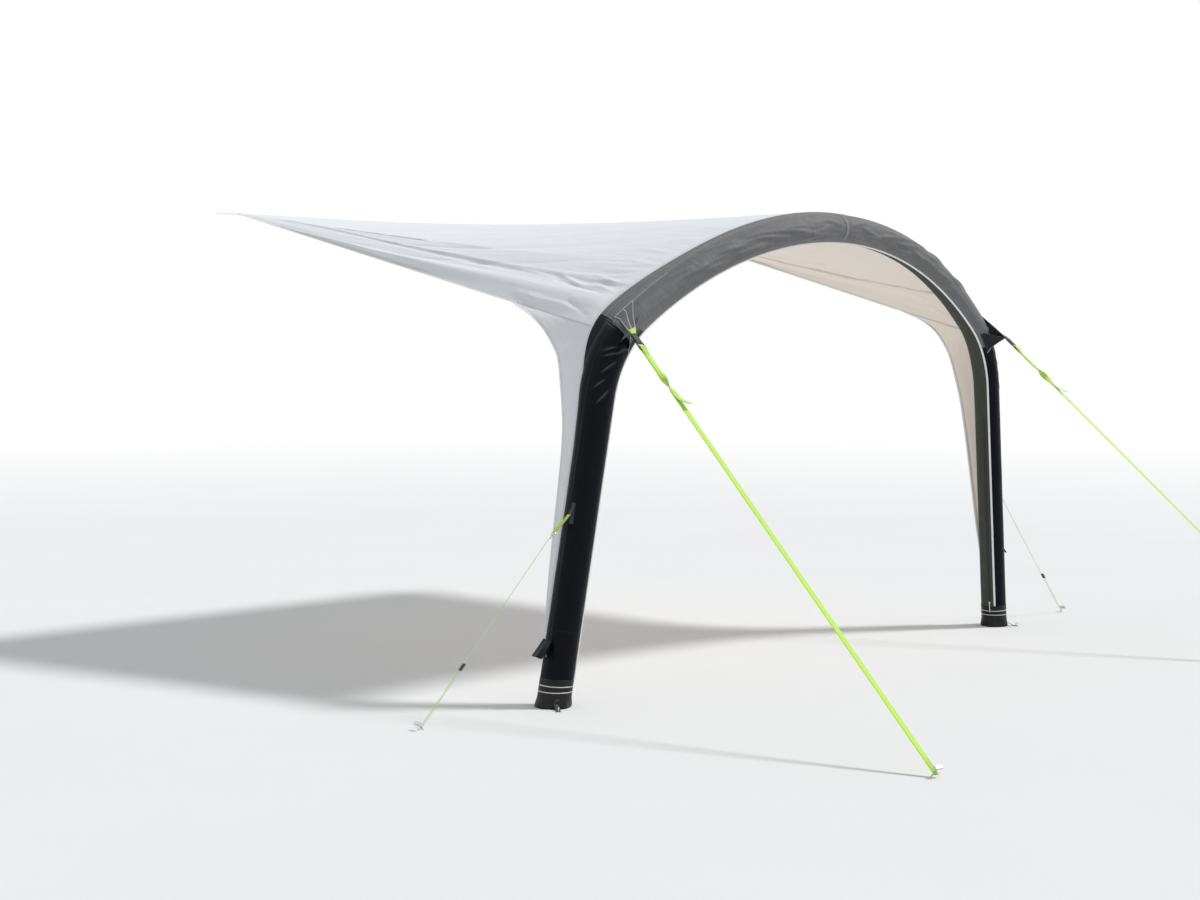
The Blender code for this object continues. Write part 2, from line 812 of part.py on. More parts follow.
def shares_at(table, place):
    """Out, back and down shares at a place in a table, by straight lines."""
    for low, high in zip(table, table[1:]):
        if place <= high[0]:
            mix = (place - low[0]) / (high[0] - low[0])
            return Vector(low[1:]).lerp(Vector(high[1:]), mix)
    return Vector(table[-1][1:])


def hem_knee():
    """Point where the free edge leaves the straight side of the roof."""
    return corner_point().lerp(front_edge(SHOULDER_SEAM), HEM_TURN_SHARE)


def wing_row(front, shares):
    """Row of the wing from its sewn edge to its free edge."""
    fall = Vector((-shares.x, shares.y, -shares.z)) * WING_DEPTH
    return [front + fall * step / WING_COLUMNS for step in range(WING_COLUMNS + 1)]


def wing_rows():
    """Rows along the shoulder seam, then down the leg."""
    lower = Vector((0, 0, -SEAM_DROP))
    knee = hem_knee()
    shoulder = front_edge(SHOULDER_SEAM)
    rows = []
    for place in WING_SEAM_SHARES:
        front = knee.lerp(shoulder, place[0]) + lower
        rows.append(wing_row(front, Vector(place[1:])))
    top = SHOULDER_SEAM - SEAM_DROP
    upper = [run for run in STATIONS if LEG_RUN < run < top]
    span = LEG_RUN - WING_STOP_RUN
    runs = [WING_STOP_RUN + span * step / WING_LEG_ROWS for step in range(WING_LEG_ROWS + 1)]
    runs = [top] + upper[::-1] + runs[::-1]
    for run in runs:
        place = (top - run) / (top - WING_STOP_RUN)
        rows.append(wing_row(front_edge(run), shares_at(WING_LEG_SHARES, place)))
    return rows


def build_wings():
    """Narrow upright panel behind each leg."""
    left, right = add_pair("wing_panel", sheet_grid("wing_panel_left", wing_rows()), FABRIC_LIGHT)
    solidify(left, SHEET)
    solidify(right, SHEET)


def away_from(edge, inner, ahead):
    """Direction square to an edge, away from the panel's inner points."""
    out = edge - inner
    return (out - out.dot(ahead) * ahead).normalized()


def build_hems():
    """White binding over the free edge, from the rail corner to the foot."""
    clear = HEM_RADIUS + TOUCH
    corner = corner_point()
    knee = hem_knee()
    inside = front_edge(SIDE_SEAM_RUN)
    ahead = (knee - corner).normalized()
    away = away_from(knee, corner.lerp(inside, HEM_TURN_SHARE), ahead)
    route = []
    straight_steps = 6
    for step in range(straight_steps):
        share = HEM_START_SHARE + (HEM_LEAVE_SHARE - HEM_START_SHARE) * step / (straight_steps - 1)
        route.append(corner.lerp(knee, share) + away * clear)
    rows = wing_rows()
    edges = [row[-1] for row in rows]
    for place, row in enumerate(rows):
        before = edges[place - 1] if place else knee
        after = edges[min(place + 1, len(rows) - 1)]
        ahead = (after - before).normalized()
        route.append(row[-1] + away_from(row[-1], row[0], ahead) * clear)
    cord_pair("hem_binding", route, HEM_RADIUS, FABRIC_WHITE)


def build_rail():
    """Bead that threads into the rail, and the tape that joins it to the roof."""
    end = Vector((HALF_WIDTH + BEAD_TAIL, 0, 0))
    add_object("rail_bead", rod("rail_bead", -end, end, BEAD_RADIUS, 12), FABRIC_WHITE)
    middle = -BEAD_RADIUS - TOUCH - TAPE_WIDTH / 2
    size = (2 * HALF_WIDTH, TAPE_WIDTH, SHEET)
    add_object("bead_tape", box("bead_tape", size, Matrix(), (0, middle, 0)), FABRIC_WHITE, False)


# Feet
def build_feet():
    """Cuff, reflective bands and base pad at each foot."""
    outset = TOUCH + CUFF_WALL
    low = CUFF_BOTTOM / math.cos(LEG_LEAN)
    runs = [low, (low + CUFF_TOP) / 2, CUFF_TOP]
    cuff = open_tube(
        "foot_cuff_left",
        [sleeve_ring(run, outset) for run in runs],
        [sleeve_ring(run, TOUCH) for run in runs],
        runs,
    )
    add_pair("foot_cuff", cuff, COATED_BLACK)
    for stem, height in (("foot_band_upper", BAND_UPPER), ("foot_band_lower", BAND_LOWER)):
        pair = [height, height + BAND_HEIGHT]
        band = open_tube(
            stem,
            [sleeve_ring(run, outset + TOUCH + BAND_THICK) for run in pair],
            [sleeve_ring(run, outset + TOUCH) for run in pair],
            pair,
        )
        add_pair(stem, band, SILVER_TAPE)
    rim = sleeve_ring(0, outset + PAD_LIP)
    low = [Vector((point.x, point.y, -RAIL_HEIGHT)) for point in rim]
    high = [point + UP * PAD_THICK for point in low]
    points, faces = closed_tube([low, high], [0, PAD_THICK])
    add_pair("base_pad", mesh_of("base_pad_left", points, faces), COATED_BLACK)


# Valves
def valve_axis(run, index):
    """Foot of the valve on the bladder's flat facet, and its outward axis."""
    flat = BLADDER_RADIUS * math.cos(math.pi / SIDES)
    return around(run, index, flat), spoke_at(run, index)


def valve_profile(share, top):
    """Turned outline of a valve body of a relative size, up to its rim."""
    neck = VALVE_NECK_RADIUS * share
    flange = VALVE_FLANGE_RADIUS * share
    collar = VALVE_COLLAR_RADIUS * share
    bore = VALVE_BORE_RADIUS * share
    return [
        (bore, -VALVE_NECK_DEPTH), (neck, -VALVE_NECK_DEPTH), (neck, VALVE_FIT),
        (flange, VALVE_FIT), (flange, VALVE_FIT + VALVE_FLANGE), (collar, VALVE_FIT + VALVE_FLANGE),
        (collar, top), (bore, top),
    ]


def valve_top(run, index):
    """Height of a collar's rim above the bladder's facet."""
    lobe = sleeve_radius(math.ceil(index), run)
    return (lobe - BLADDER_RADIUS) * math.cos(math.pi / SIDES) + VALVE_PROUD


def hole_through(thing, name, place, axis, radius):
    """Cut a round hole through a wall along an axis."""
    cutter = bpy.data.objects.new(
        name, turned_rod(name, place - axis * OVERRUN, axis, 2 * OVERRUN + EAR_LEG, radius, ROUND_STEPS)
    )
    bpy.context.scene.collection.objects.link(cutter)
    cut(thing, cutter)


def build_valves(bladder, cover, sleeves):
    """Inflation valve and cap on the left, relief valve on the right."""
    place, axis = valve_axis(VALVE_RUN, VALVE_INDEX)
    rim = valve_top(VALVE_RUN, VALVE_INDEX)
    add_object("valve_body", turned("valve_body", valve_profile(1, rim), place, axis), GREY_PLASTIC)
    hole_through(bladder, "bladder_hole", place, axis, VALVE_NECK_RADIUS + VALVE_FIT)
    hole_through(cover, "cover_hole", place, axis, COVER_HOLE_RADIUS)
    hole_through(sleeves[0], "sleeve_hole", place, axis, SLEEVE_HOLE_RADIUS)
    add_cap(place, axis, rim)

    left_place, left_axis = valve_axis(RELIEF_RUN, RELIEF_INDEX)
    place = MIRROR_X @ left_place
    axis = (MIRROR_X.to_3x3() @ left_axis).normalized()
    profile = valve_profile(RELIEF_SCALE_SHARE, valve_top(RELIEF_RUN, RELIEF_INDEX))
    body = turned("relief_valve", profile, place, axis)
    add_object("relief_valve", body, GREY_PLASTIC)
    hole_through(bladder, "bladder_relief_hole", place, axis, VALVE_NECK_RADIUS * RELIEF_SCALE_SHARE + VALVE_FIT)
    hole_through(cover, "cover_relief_hole", place, axis, COVER_HOLE_RADIUS * RELIEF_SCALE_SHARE)
    hole_through(sleeves[1], "sleeve_relief_hole", place, axis, SLEEVE_HOLE_RADIUS * RELIEF_SCALE_SHARE)


def add_cap(place, axis, rim):
    """Round cap with a finger grip, standing on the valve's collar."""
    low = rim + VALVE_FIT
    high = low + CAP_HEIGHT
    outline = [
        (0, low), (CAP_RADIUS, low), (CAP_RADIUS, high - CAP_BEVEL),
        (CAP_RADIUS - CAP_BEVEL, high), (0, high),
    ]
    cap = add_object("valve_cap", turned("valve_cap", outline, place, axis), BLACK_PLASTIC)
    side = axis.cross(UP).normalized()
    frame = axes_matrix(place, side, axis.cross(side), axis)
    size = (2 * (CAP_RADIUS - CAP_BEVEL), CAP_GRIP_WIDTH, CAP_GRIP_HEIGHT + CAP_BEVEL)
    grip_mesh = box("cap_grip", size, frame, (0, 0, high + (CAP_GRIP_HEIGHT - CAP_BEVEL) / 2))
    grip = bpy.data.objects.new("cap_grip", grip_mesh)
    bpy.context.scene.collection.objects.link(grip)
    join = cap.modifiers.new("grip", "BOOLEAN")
    join.operation = "UNION"
    join.solver = "EXACT"
    join.object = grip
    grip.hide_render = True
    grip.display_type = "WIRE"
    set_pivot(cap, place)


def flap_mesh(name, hinge, side, down, outward, width, length, open_angle):
    """Flap that hangs from a hinge line, with a curl across its width."""
    columns = 6
    rows_down = 3
    swing = math.cos(open_angle) * down + math.sin(open_angle) * outward
    lift = math.cos(open_angle) * outward - math.sin(open_angle) * down
    rows = []
    for row in range(rows_down + 1):
        line = []
        for column in range(columns + 1):
            share = 2 * column / columns - 1
            curl = -FLAP_CURL * share ** 2 * row / rows_down
            line.append(hinge + side * share * width / 2 + swing * length * row / rows_down + lift * curl)
        rows.append(line)
    return sheet_grid(name, rows)


def flap_frame(run, index, rise):
    """Hinge centre of a flap on the sleeve's facet, with side, down and outward."""
    at = run + rise
    tangent = arch_frame(at)[1]
    near = on_sleeve(at, math.floor(index), TOUCH + FLAP_THICK / 2)
    far = on_sleeve(at, math.ceil(index), TOUCH + FLAP_THICK / 2)
    side = (near - far).normalized()
    outward = side.cross(tangent).normalized()
    return (near + far) / 2, side, -tangent, outward


def build_flaps():
    """Fabric flaps over the two valves, each resting part open."""
    hinge, side, down, outward = flap_frame(VALVE_RUN, VALVE_INDEX, FLAP_HINGE_RISE)
    mesh = flap_mesh("valve_flap", hinge, side, down, outward, FLAP_WIDTH, FLAP_LENGTH, FLAP_OPEN)
    flap = add_object("valve_flap", mesh, FABRIC_DARK)
    solidify(flap, FLAP_THICK)
    set_pivot(flap, hinge)
    hinge, side, down, outward = flap_frame(RELIEF_RUN, RELIEF_INDEX, RELIEF_HINGE_RISE)
    mesh = flap_mesh(
        "relief_flap", hinge, side, down, outward, RELIEF_FLAP_WIDTH, RELIEF_FLAP_LENGTH, RELIEF_FLAP_OPEN
    )
    flap = add_object("relief_flap", mirrored_mesh(mesh, "relief_flap"), FABRIC_DARK)
    solidify(flap, FLAP_THICK)
    set_pivot(flap, MIRROR_X @ hinge)


# Zips
def build_zips():
    """Zip down the inner side of each leg, with its slider at the foot."""
    lift = SLEEVE_RADIUS + TOUCH + ZIP_THICK / 2
    tangent = arch_frame(ZIP_START)[1]
    side = tangent.cross(spoke_at(LEG_RUN / 2, ZIP_INDEX)).normalized()
    outward = side.cross(tangent).normalized()
    start = centre(ZIP_START) + outward * lift
    end = centre(ZIP_END) + outward * lift
    size = (ZIP_WIDTH, ZIP_THICK, (end - start).length)
    frame = axes_matrix((start + end) / 2, side, outward, tangent)
    add_pair("sleeve_zip", box("sleeve_zip_left", size, frame), BLACK_WEBBING, False)

    body_at = centre(SLIDER_RUN) + outward * (lift + ZIP_THICK / 2 + TOUCH + SLIDER_THICK / 2)
    frame = axes_matrix(body_at, side, outward, tangent)
    slider = box("zip_slider_left", (SLIDER_WIDTH, SLIDER_THICK, SLIDER_LENGTH), frame)
    left, right = add_pair("zip_slider", slider, STEEL, False)
    pull_centre = (0, SLIDER_THICK / 2 - PULL_THICK / 2, -SLIDER_LENGTH / 2 - PULL_LENGTH / 2 + PULL_OVERLAP)
    pull = box("slider_pull", (PULL_WIDTH, PULL_THICK, PULL_LENGTH), frame, pull_centre)
    for body, mesh in ((left, pull), (right, mirrored_mesh(pull, "slider_pull_right"))):
        grip = bpy.data.objects.new(body.name + "_pull", mesh)
        bpy.context.scene.collection.objects.link(grip)
        join = body.modifiers.new("pull", "BOOLEAN")
        join.operation = "UNION"
        join.solver = "EXACT"
        join.object = grip
        grip.hide_render = True
        grip.display_type = "WIRE"
    set_pivots((left, right), body_at)


# Shoulder sling, buckle and storm strap
def sling_tip():
    """Point in front of the shoulder where the sling ends."""
    middle, tangent, inward, front = arch_frame(SHOULDER_SEAM)
    return middle - TIP_OUT * inward + TIP_FRONT * front - TIP_DOWN * tangent


STRAP_START = sling_tip()
STRAP_END = centre(0) + Vector((STORM_PEG_INSIDE, -STORM_PEG_FRONT, LINE_GROUND))
STRAP_WAY = (STRAP_END - STRAP_START).normalized()
STRAP_SIDE = STRAP_WAY.cross(UP).normalized()
STRAP_LIFT = STRAP_SIDE.cross(STRAP_WAY).normalized()


def strap_point(along, lift):
    """Point beside the strap's line."""
    return STRAP_START + STRAP_WAY * along + STRAP_LIFT * lift


def build_slings():
    """Fabric sling that wraps the shoulder and narrows to the strap."""
    outer_runs = [LEG_RUN + SHOULDER_RUN * step / SHOULDER_STEPS for step in (4, 5, 6)]
    inner_runs = [LEG_RUN + SHOULDER_RUN * step / SHOULDER_STEPS for step in (3, 4, 5)]

    def tube_row(index, runs):
        return [on_sleeve(run, index, TOUCH + SLING_LIFT) for run in reversed(runs)]

    def tip_row(lift, back):
        half = STRAP_SIDE * WEBBING_WIDTH / 2
        middle = STRAP_START - STRAP_WAY * back + STRAP_LIFT * lift
        return [middle + half * turn for turn in (-1, 0, 1)]

    outer_far = tube_row(SLING_OUTER_INDEX + 1, outer_runs)
    outer_near = tube_row(SLING_OUTER_INDEX, outer_runs)
    inner_near = tube_row(SLING_INNER_INDEX, inner_runs)
    inner_far = tube_row(SLING_INNER_INDEX - 1, inner_runs)
    upper_tip = tip_row(SLING_THICK * 2, SLING_TIP_BACK)
    lower_tip = tip_row(-SLING_THICK * 2, SLING_TIP_BACK)
    upper_middle = [(near + tip) / 2 for near, tip in zip(outer_near, upper_tip)]
    lower_middle = [(near + tip) / 2 for near, tip in zip(inner_near, lower_tip)]
    rows = [outer_far, outer_near, upper_middle, upper_tip]
    rows += [lower_tip, lower_middle, inner_near, inner_far]
    for sling in add_pair("shoulder_sling", sheet_grid("shoulder_sling_left", rows), COATED_BLACK):
        sling.modifiers.new("split", "TRIANGULATE")
        solidify(sling, SLING_THICK)


def turn_round(middle_along, way, steps=6):
    """Half turn of a strap round a bar, from below to above or back."""
    places = []
    for step in range(steps + 1):
        angle = -math.pi / 2 + math.pi * step / steps
        places.append(strap_point(middle_along - way * STRAP_OFFSET * math.cos(angle), STRAP_OFFSET * math.sin(angle)))
    return places


def buckle_at():
    """Distance of the buckle's middle along the strap's line."""
    return WEBBING_LENGTH + BUCKLE_LENGTH / 2 - BUCKLE_BAR


def build_webbing():
    """Short black webbing from the sling round the buckle's upper bar."""
    upper_bar = buckle_at() - BUCKLE_LENGTH / 2 + BUCKLE_BAR / 2
    start = (SLING_THICK + STRAP_THICK) / 2 + TOUCH - SLING_TIP_BACK
    route = [strap_point(start, -SLING_THICK)]
    route.append(strap_point((start + upper_bar) / 3, -STRAP_OFFSET))
    route += turn_round(upper_bar, -1)
    route.append(strap_point((start + upper_bar) / 3, STRAP_OFFSET))
    route.append(strap_point(start, SLING_THICK))
    widths = [STRAP_SIDE * WEBBING_WIDTH] * len(route)
    add_pair("sling_webbing", ribbon("sling_webbing_left", route, widths, STRAP_THICK), BLACK_WEBBING)


def build_buckles():
    """Ladder buckle: a frame with two slots and a middle bar."""
    place = strap_point(buckle_at(), 0)
    frame = axes_matrix(place, STRAP_SIDE, STRAP_WAY, STRAP_LIFT)
    mesh = box("strap_buckle_left", (BUCKLE_WIDTH, BUCKLE_LENGTH, BUCKLE_THICK), frame)
    left, right = add_pair("strap_buckle", mesh, BLACK_PLASTIC, False)
    slot_length = (BUCKLE_LENGTH - 3 * BUCKLE_BAR) / 2
    slot_size = (BUCKLE_WIDTH - 2 * BUCKLE_SIDE, slot_length, BUCKLE_THICK + OVERRUN)
    for side in (1, -1):
        middle = side * (BUCKLE_BAR + slot_length) / 2
        slot = box("slot", slot_size, frame, (0, middle, 0))
        for body, cutter_mesh in ((left, slot), (right, mirrored_mesh(slot, "slot_right"))):
            cutter = bpy.data.objects.new(body.name + "_slot", cutter_mesh)
            bpy.context.scene.collection.objects.link(cutter)
            cut(body, cutter)
    soften(left, BUCKLE_BEVEL, 1)
    soften(right, BUCKLE_BEVEL, 1)


def strap_axes(along):
    """Width direction and upper face of the strap, which has a half twist."""
    share = (STRAP_TWIST_END - along) / (STRAP_TWIST_END - STRAP_TWIST_START)
    turn = math.pi * smooth_step(share)
    side = math.cos(turn) * STRAP_SIDE + math.sin(turn) * STRAP_LIFT
    face = math.cos(turn) * STRAP_LIFT - math.sin(turn) * STRAP_SIDE
    return side, face


def between(start, end, steps):
    """Evenly spaced values from a start up to, but without, an end."""
    return [start + (end - start) * step / steps for step in range(steps)]


def build_storm_straps():
    """Lime strap from the peg, round the buckle's middle bar, to its loose tail."""
    bar = buckle_at()
    full = (STRAP_END - STRAP_START).length
    eye = full - STRAP_EYE_INSET
    near = bar + BUCKLE_LENGTH / 2 + STRAP_WIDTH / 3
    leave = near + STRAP_WIDTH
    twist_steps = 10
    alongs = [full] + between(full - 2 * STRAP_WIDTH, STRAP_TWIST_END, 10)
    alongs += between(STRAP_TWIST_END, STRAP_TWIST_START, twist_steps) + [STRAP_TWIST_START, leave]
    route = [strap_point(along, 0) for along in alongs]
    widths = [strap_axes(along)[0] * STRAP_WIDTH for along in alongs]
    bend = [strap_point(near, STRAP_OFFSET)] + turn_round(bar, 1)[::-1] + [strap_point(near, -STRAP_OFFSET)]
    route += bend
    widths += [strap_axes(near)[0] * STRAP_WIDTH] * len(bend)
    tail = [leave] + between(STRAP_TWIST_START, STRAP_TWIST_END, twist_steps)
    tail += between(STRAP_TWIST_END, TAIL_END, 3) + [TAIL_END]
    for along in tail:
        side, face = strap_axes(along)
        free = max(0, along - STRAP_TWIST_END) / (TAIL_END - STRAP_TWIST_END)
        peel = face * TAIL_SPREAD - side * TAIL_DRIFT
        route.append(strap_point(along, 0) + face * TAIL_LAY + peel * free ** 2)
        widths.append(side * STRAP_WIDTH)
    mesh = ribbon("storm_strap_left", route, widths, STRAP_THICK, len(alongs))
    left, right = add_pair("storm_strap", mesh, LIME_WEBBING)
    hole = turned_rod(
        "strap_eye", strap_point(eye, -OVERRUN), STRAP_LIFT, 2 * OVERRUN, PEG_RADIUS + PEG_FIT, ROUND_STEPS
    )
    for body, cutter_mesh in ((left, hole), (right, mirrored_mesh(hole, "strap_eye_right"))):
        cutter = bpy.data.objects.new(body.name + "_eye", cutter_mesh)
        bpy.context.scene.collection.objects.link(cutter)
        cut(body, cutter)


def peg_mesh(name, through, axis, side):
    """Steel pin with a moulded head, driven through a place along an axis."""
    work_top = through + axis * PEG_ABOVE
    tip = through - axis * PEG_BELOW
    outline = [
        (0, 0), (PEG_RADIUS, PEG_POINT), (PEG_RADIUS, PEG_BELOW + PEG_ABOVE), (0, PEG_BELOW + PEG_ABOVE),
    ]
    pin = turned(name, outline, tip, axis)
    frame = axes_matrix(work_top, side, axis.cross(side), axis)
    head = box(name + "_head", (PEG_HEAD_WIDTH, PEG_HEAD_DEPTH, PEG_HEAD_THICK), frame, (0, 0, PEG_HEAD_THICK / 2 - TOUCH))
    return pin, head


def add_peg(stem, through, axis, side):
    """A peg on each side: pin and head in one piece."""
    pin, head = peg_mesh(stem + "_left", through, axis, side)
    left, right = add_pair(stem, pin, STEEL)
    for body, mesh in ((left, head), (right, mirrored_mesh(head, stem + "_head_right"))):
        top = bpy.data.objects.new(body.name + "_head", mesh)
        bpy.context.scene.collection.objects.link(top)
        soften(top, PEG_HEAD_BEVEL, 2)
        join = body.modifiers.new("head", "BOOLEAN")
        join.operation = "UNION"
        join.solver = "EXACT"
        join.object = top
        top.hide_render = True
        top.display_type = "WIRE"
    set_pivots((left, right), through)


def build_storm_pegs():
    """Pegs of the storm straps, square to their straps."""
    eye = (STRAP_END - STRAP_START).length - STRAP_EYE_INSET
    add_peg("storm_peg", strap_point(eye, 0), STRAP_LIFT, STRAP_SIDE)


# Lower side guys
def guy_seat(run):
    """Seat of the guy patch on a corner line of the leg."""
    index = GUY_PATCH_INDEX
    outward = spoke_at(run, index)
    side = arch_frame(run)[1].cross(outward).normalized()
    place = on_sleeve(run, index, TOUCH + SHEET)
    return place, side, outward


def ring_bar():
    """Middle of the ring's straight bar, beside the leg."""
    place, side, outward = guy_seat(GUY_PATCH_END - TAB_SEWN)
    return place + RING_OUT * outward - RING_BACK * side - RING_DOWN * arch_frame(GUY_PATCH_END)[1]


RING_BAR = ring_bar()
GUY_END = centre(0) + Vector((-GUY_PEG_OUT, GUY_PEG_BACK, LINE_GROUND))
RING_DEPTH = RING_CORNER + RING_WIDTH / 2
GUY_WAY = (GUY_END - RING_BAR).normalized()
GUY_SIDE = GUY_WAY.cross(UP).normalized()
GUY_LIFT = GUY_SIDE.cross(GUY_WAY).normalized()


def guy_point(along, side, lift=0):
    """Point beside the guy's line."""
    return RING_BAR + GUY_WAY * along + GUY_SIDE * side + GUY_LIFT * lift


def build_guy_patch():
    """Black tape sewn down the leg, which holds the lime tab."""
    rows = []
    half = GUY_PATCH_WIDTH / 2
    for run in (GUY_PATCH_START, (GUY_PATCH_START + GUY_PATCH_END) / 2, GUY_PATCH_END):
        place, side, outward = guy_seat(run)
        rows.append([place - side * half, place, place + side * half])
    left, right = add_pair("guy_patch", sheet_grid("guy_patch_left", rows), BLACK_WEBBING)
    solidify(left, SHEET)
    solidify(right, SHEET)


def build_guy_tabs():
    """Lime tab: sewn flat on the patch, then folded round the ring's bar."""
    seat, side, outward = guy_seat(GUY_PATCH_END - TAB_SEWN)
    up = arch_frame(GUY_PATCH_END)[1]
    flat = outward * (SHEET / 2 + TOUCH + TAB_THICK / 2)
    way = (RING_BAR - seat - flat).normalized()
    lift = GUY_SIDE.cross(way).normalized()
    bend = RING_WIRE + TOUCH + TAB_THICK / 2
    sewn = side if side.dot(GUY_SIDE) > 0 else -side
    route = [seat + flat + up * TAB_SEWN, seat + flat + up * TAB_SEWN / 2]
    widths = [sewn * TAB_WIDTH, sewn * TAB_WIDTH]
    route.append(seat + flat + way * TAB_SEWN / 2)
    widths.append((sewn + GUY_SIDE).normalized() * TAB_WIDTH)
    bend_steps = 6
    for step in range(bend_steps + 1):
        angle = -math.pi / 2 + math.pi * step / bend_steps
        route.append(RING_BAR + lift * bend * math.sin(angle) + way * bend * math.cos(angle))
        widths.append(GUY_SIDE * TAB_WIDTH)
    back = RING_BAR - way * (RING_BAR - seat).length / 2
    route.append(back + lift * bend)
    widths.append(GUY_SIDE * TAB_WIDTH)
    add_pair("guy_tab", ribbon("guy_tab_left", route, widths, TAB_THICK), LIME_WEBBING)


def ring_path():
    """Places and outward directions round the ring: straight bar, then a bow."""
    half = RING_WIDTH / 2
    diagonal = math.sqrt(0.5)
    path = [((0, 0), (-1, 0)), ((0, half - RING_CORNER), (-1, 0))]
    bite = RING_CORNER * (1 - diagonal)
    path.append(((bite, half - bite), (-diagonal, diagonal)))
    bow_steps = 10
    for step in range(bow_steps + 1):
        angle = math.pi / 2 - math.pi * step / bow_steps
        spoke = (math.cos(angle), math.sin(angle))
        path.append(((RING_CORNER + half * spoke[0], half * spoke[1]), spoke))
    path.append(((bite, bite - half), (-diagonal, -diagonal)))
    path.append(((0, RING_CORNER - half), (-1, 0)))
    return path


def build_guy_rings():
    """Steel ring with a straight bar between the tab and the line."""
    work = bmesh.new()
    small = 6
    loops = []
    for (along, side), (ahead, beside) in ring_path():
        spoke = GUY_WAY * ahead + GUY_SIDE * beside
        loop = []
        for turn in range(small):
            tilt = 2 * math.pi * turn / small
            offset = math.cos(tilt) * spoke + math.sin(tilt) * GUY_LIFT
            loop.append(work.verts.new(guy_point(along, side) + offset * RING_WIRE))
        loops.append(loop)
    for first, second in zip(loops, loops[1:] + loops[:1]):
        for turn in range(small):
            after = (turn + 1) % small
            work.faces.new((first[turn], first[after], second[after], second[turn]))
    add_pair("guy_ring", finish_bmesh("guy_ring_left", work), STEEL)


def build_guy_lines():
    """Cord tied to the ring, taken round the peg and back to the runner."""
    half = LINE_SPACING / 2
    full = (GUY_END - RING_BAR).length
    loop = RING_WIRE + TOUCH + CORD_RADIUS
    loop_steps = 8
    route = [guy_point(RING_DEPTH + 2 * loop, 0, loop)]
    for step in range(loop_steps + 1):
        angle = math.pi * step / loop_steps
        route.append(guy_point(RING_DEPTH - loop * math.sin(angle), 0, loop * math.cos(angle)))
    route.append(guy_point(RING_DEPTH + 2 * loop, 0, -loop))
    thick = [1.0] * len(route)
    knot = RING_DEPTH + 2 * loop + CORD_RADIUS
    for share in KNOT_SHARES:
        route.append(guy_point(knot + KNOT_LENGTH * share, 0))
        thick.append(1 + (KNOT_RADIUS / CORD_RADIUS - 1) * math.sin(math.pi * share))
    line_start = knot + 2 * KNOT_LENGTH
    line_steps = 8
    for step in range(line_steps + 1):
        route.append(guy_point(line_start + (full - line_start) * step / line_steps, half))
    turn_steps = 6
    for step in range(1, turn_steps):
        angle = math.pi * step / turn_steps
        route.append(guy_point(full + half * math.sin(angle), half * math.cos(angle)))
    back_end = full - RUNNER_FROM_PEG - RUNNER_LENGTH / 2
    back_steps = 4
    for step in range(back_steps + 1):
        route.append(guy_point(full + (back_end - full) * step / back_steps, -half))
    thick += [1.0] * (len(route) - len(thick))
    cord_pair("guy_line", route, CORD_RADIUS, LIME_WEBBING, thick=thick)


def build_runners():
    """Line runner: a small bar with a hole for each strand."""
    full = (GUY_END - RING_BAR).length
    place = guy_point(full - RUNNER_FROM_PEG, 0)
    frame = axes_matrix(place, GUY_SIDE, GUY_WAY, GUY_LIFT)
    mesh = box("line_runner_left", (RUNNER_WIDTH, RUNNER_LENGTH, RUNNER_THICK), frame)
    left, right = add_pair("line_runner", mesh, BLACK_PLASTIC, False)
    soften(left, RUNNER_BEVEL, 2)
    soften(right, RUNNER_BEVEL, 2)
    for side in (1, -1):
        start = guy_point(full - RUNNER_FROM_PEG - RUNNER_LENGTH, side * LINE_SPACING / 2)
        hole = turned_rod("runner_hole", start, GUY_WAY, 2 * RUNNER_LENGTH, RUNNER_HOLE + TOUCH, 12)
        for body, cutter_mesh in ((left, hole), (right, mirrored_mesh(hole, "runner_hole_right"))):
            cutter = bpy.data.objects.new(body.name + "_hole", cutter_mesh)
            bpy.context.scene.collection.objects.link(cutter)
            cut(body, cutter)
    set_pivots((left, right), place)


def build_guy_pegs():
    """Pegs of the lower guys, square to their lines."""
    full = (GUY_END - RING_BAR).length
    add_peg("guy_peg", guy_point(full, 0), GUY_LIFT, GUY_SIDE)


# Foot loops and their pegs
def foot_loop_frame():
    """Cuff seat, outward direction and sideways direction of the foot loop."""
    outward = spoke_at(0, FOOT_LOOP_INDEX)
    flat = Vector((outward.x, outward.y, 0)).normalized()
    side = flat.cross(UP).normalized()
    outset = sleeve_radius(FOOT_LOOP_INDEX, 0) + TOUCH + CUFF_WALL
    seat = around(FOOT_LOOP_RISE, FOOT_LOOP_INDEX, outset + TOUCH + SHEET / 2)
    return seat, flat, side


def build_foot_loops():
    """Webbing that holds the cuff down to a peg."""
    seat, flat, side = foot_loop_frame()
    ground = Vector((seat.x, seat.y, -RAIL_HEIGHT)) + flat * FOOT_LOOP_REACH
    rise = UP * (TOUCH + SHEET)
    low_seat = seat - (centre(FOOT_LOOP_RISE) - centre(FOOT_LOOP_RISE / 2))
    route = [seat, low_seat, ground - flat * FOOT_LOOP_REACH / 4 + rise * 3]
    route += [ground + rise, ground + flat * FOOT_LOOP_REACH / 3 + rise]
    widths = [side * FOOT_LOOP_WIDTH] * len(route)
    mesh = ribbon("foot_loop_left", route, widths, SHEET)
    left, right = add_pair("foot_loop", mesh, BLACK_WEBBING)
    eye_at = ground + flat * FOOT_LOOP_REACH / 8
    hole = turned_rod("foot_eye", eye_at - UP * OVERRUN, UP, 2 * OVERRUN, FOOT_PEG_RADIUS + PEG_FIT, ROUND_STEPS)
    for body, cutter_mesh in ((left, hole), (right, mirrored_mesh(hole, "foot_eye_right"))):
        cutter = bpy.data.objects.new(body.name + "_eye", cutter_mesh)
        bpy.context.scene.collection.objects.link(cutter)
        cut(body, cutter)
    return eye_at, flat


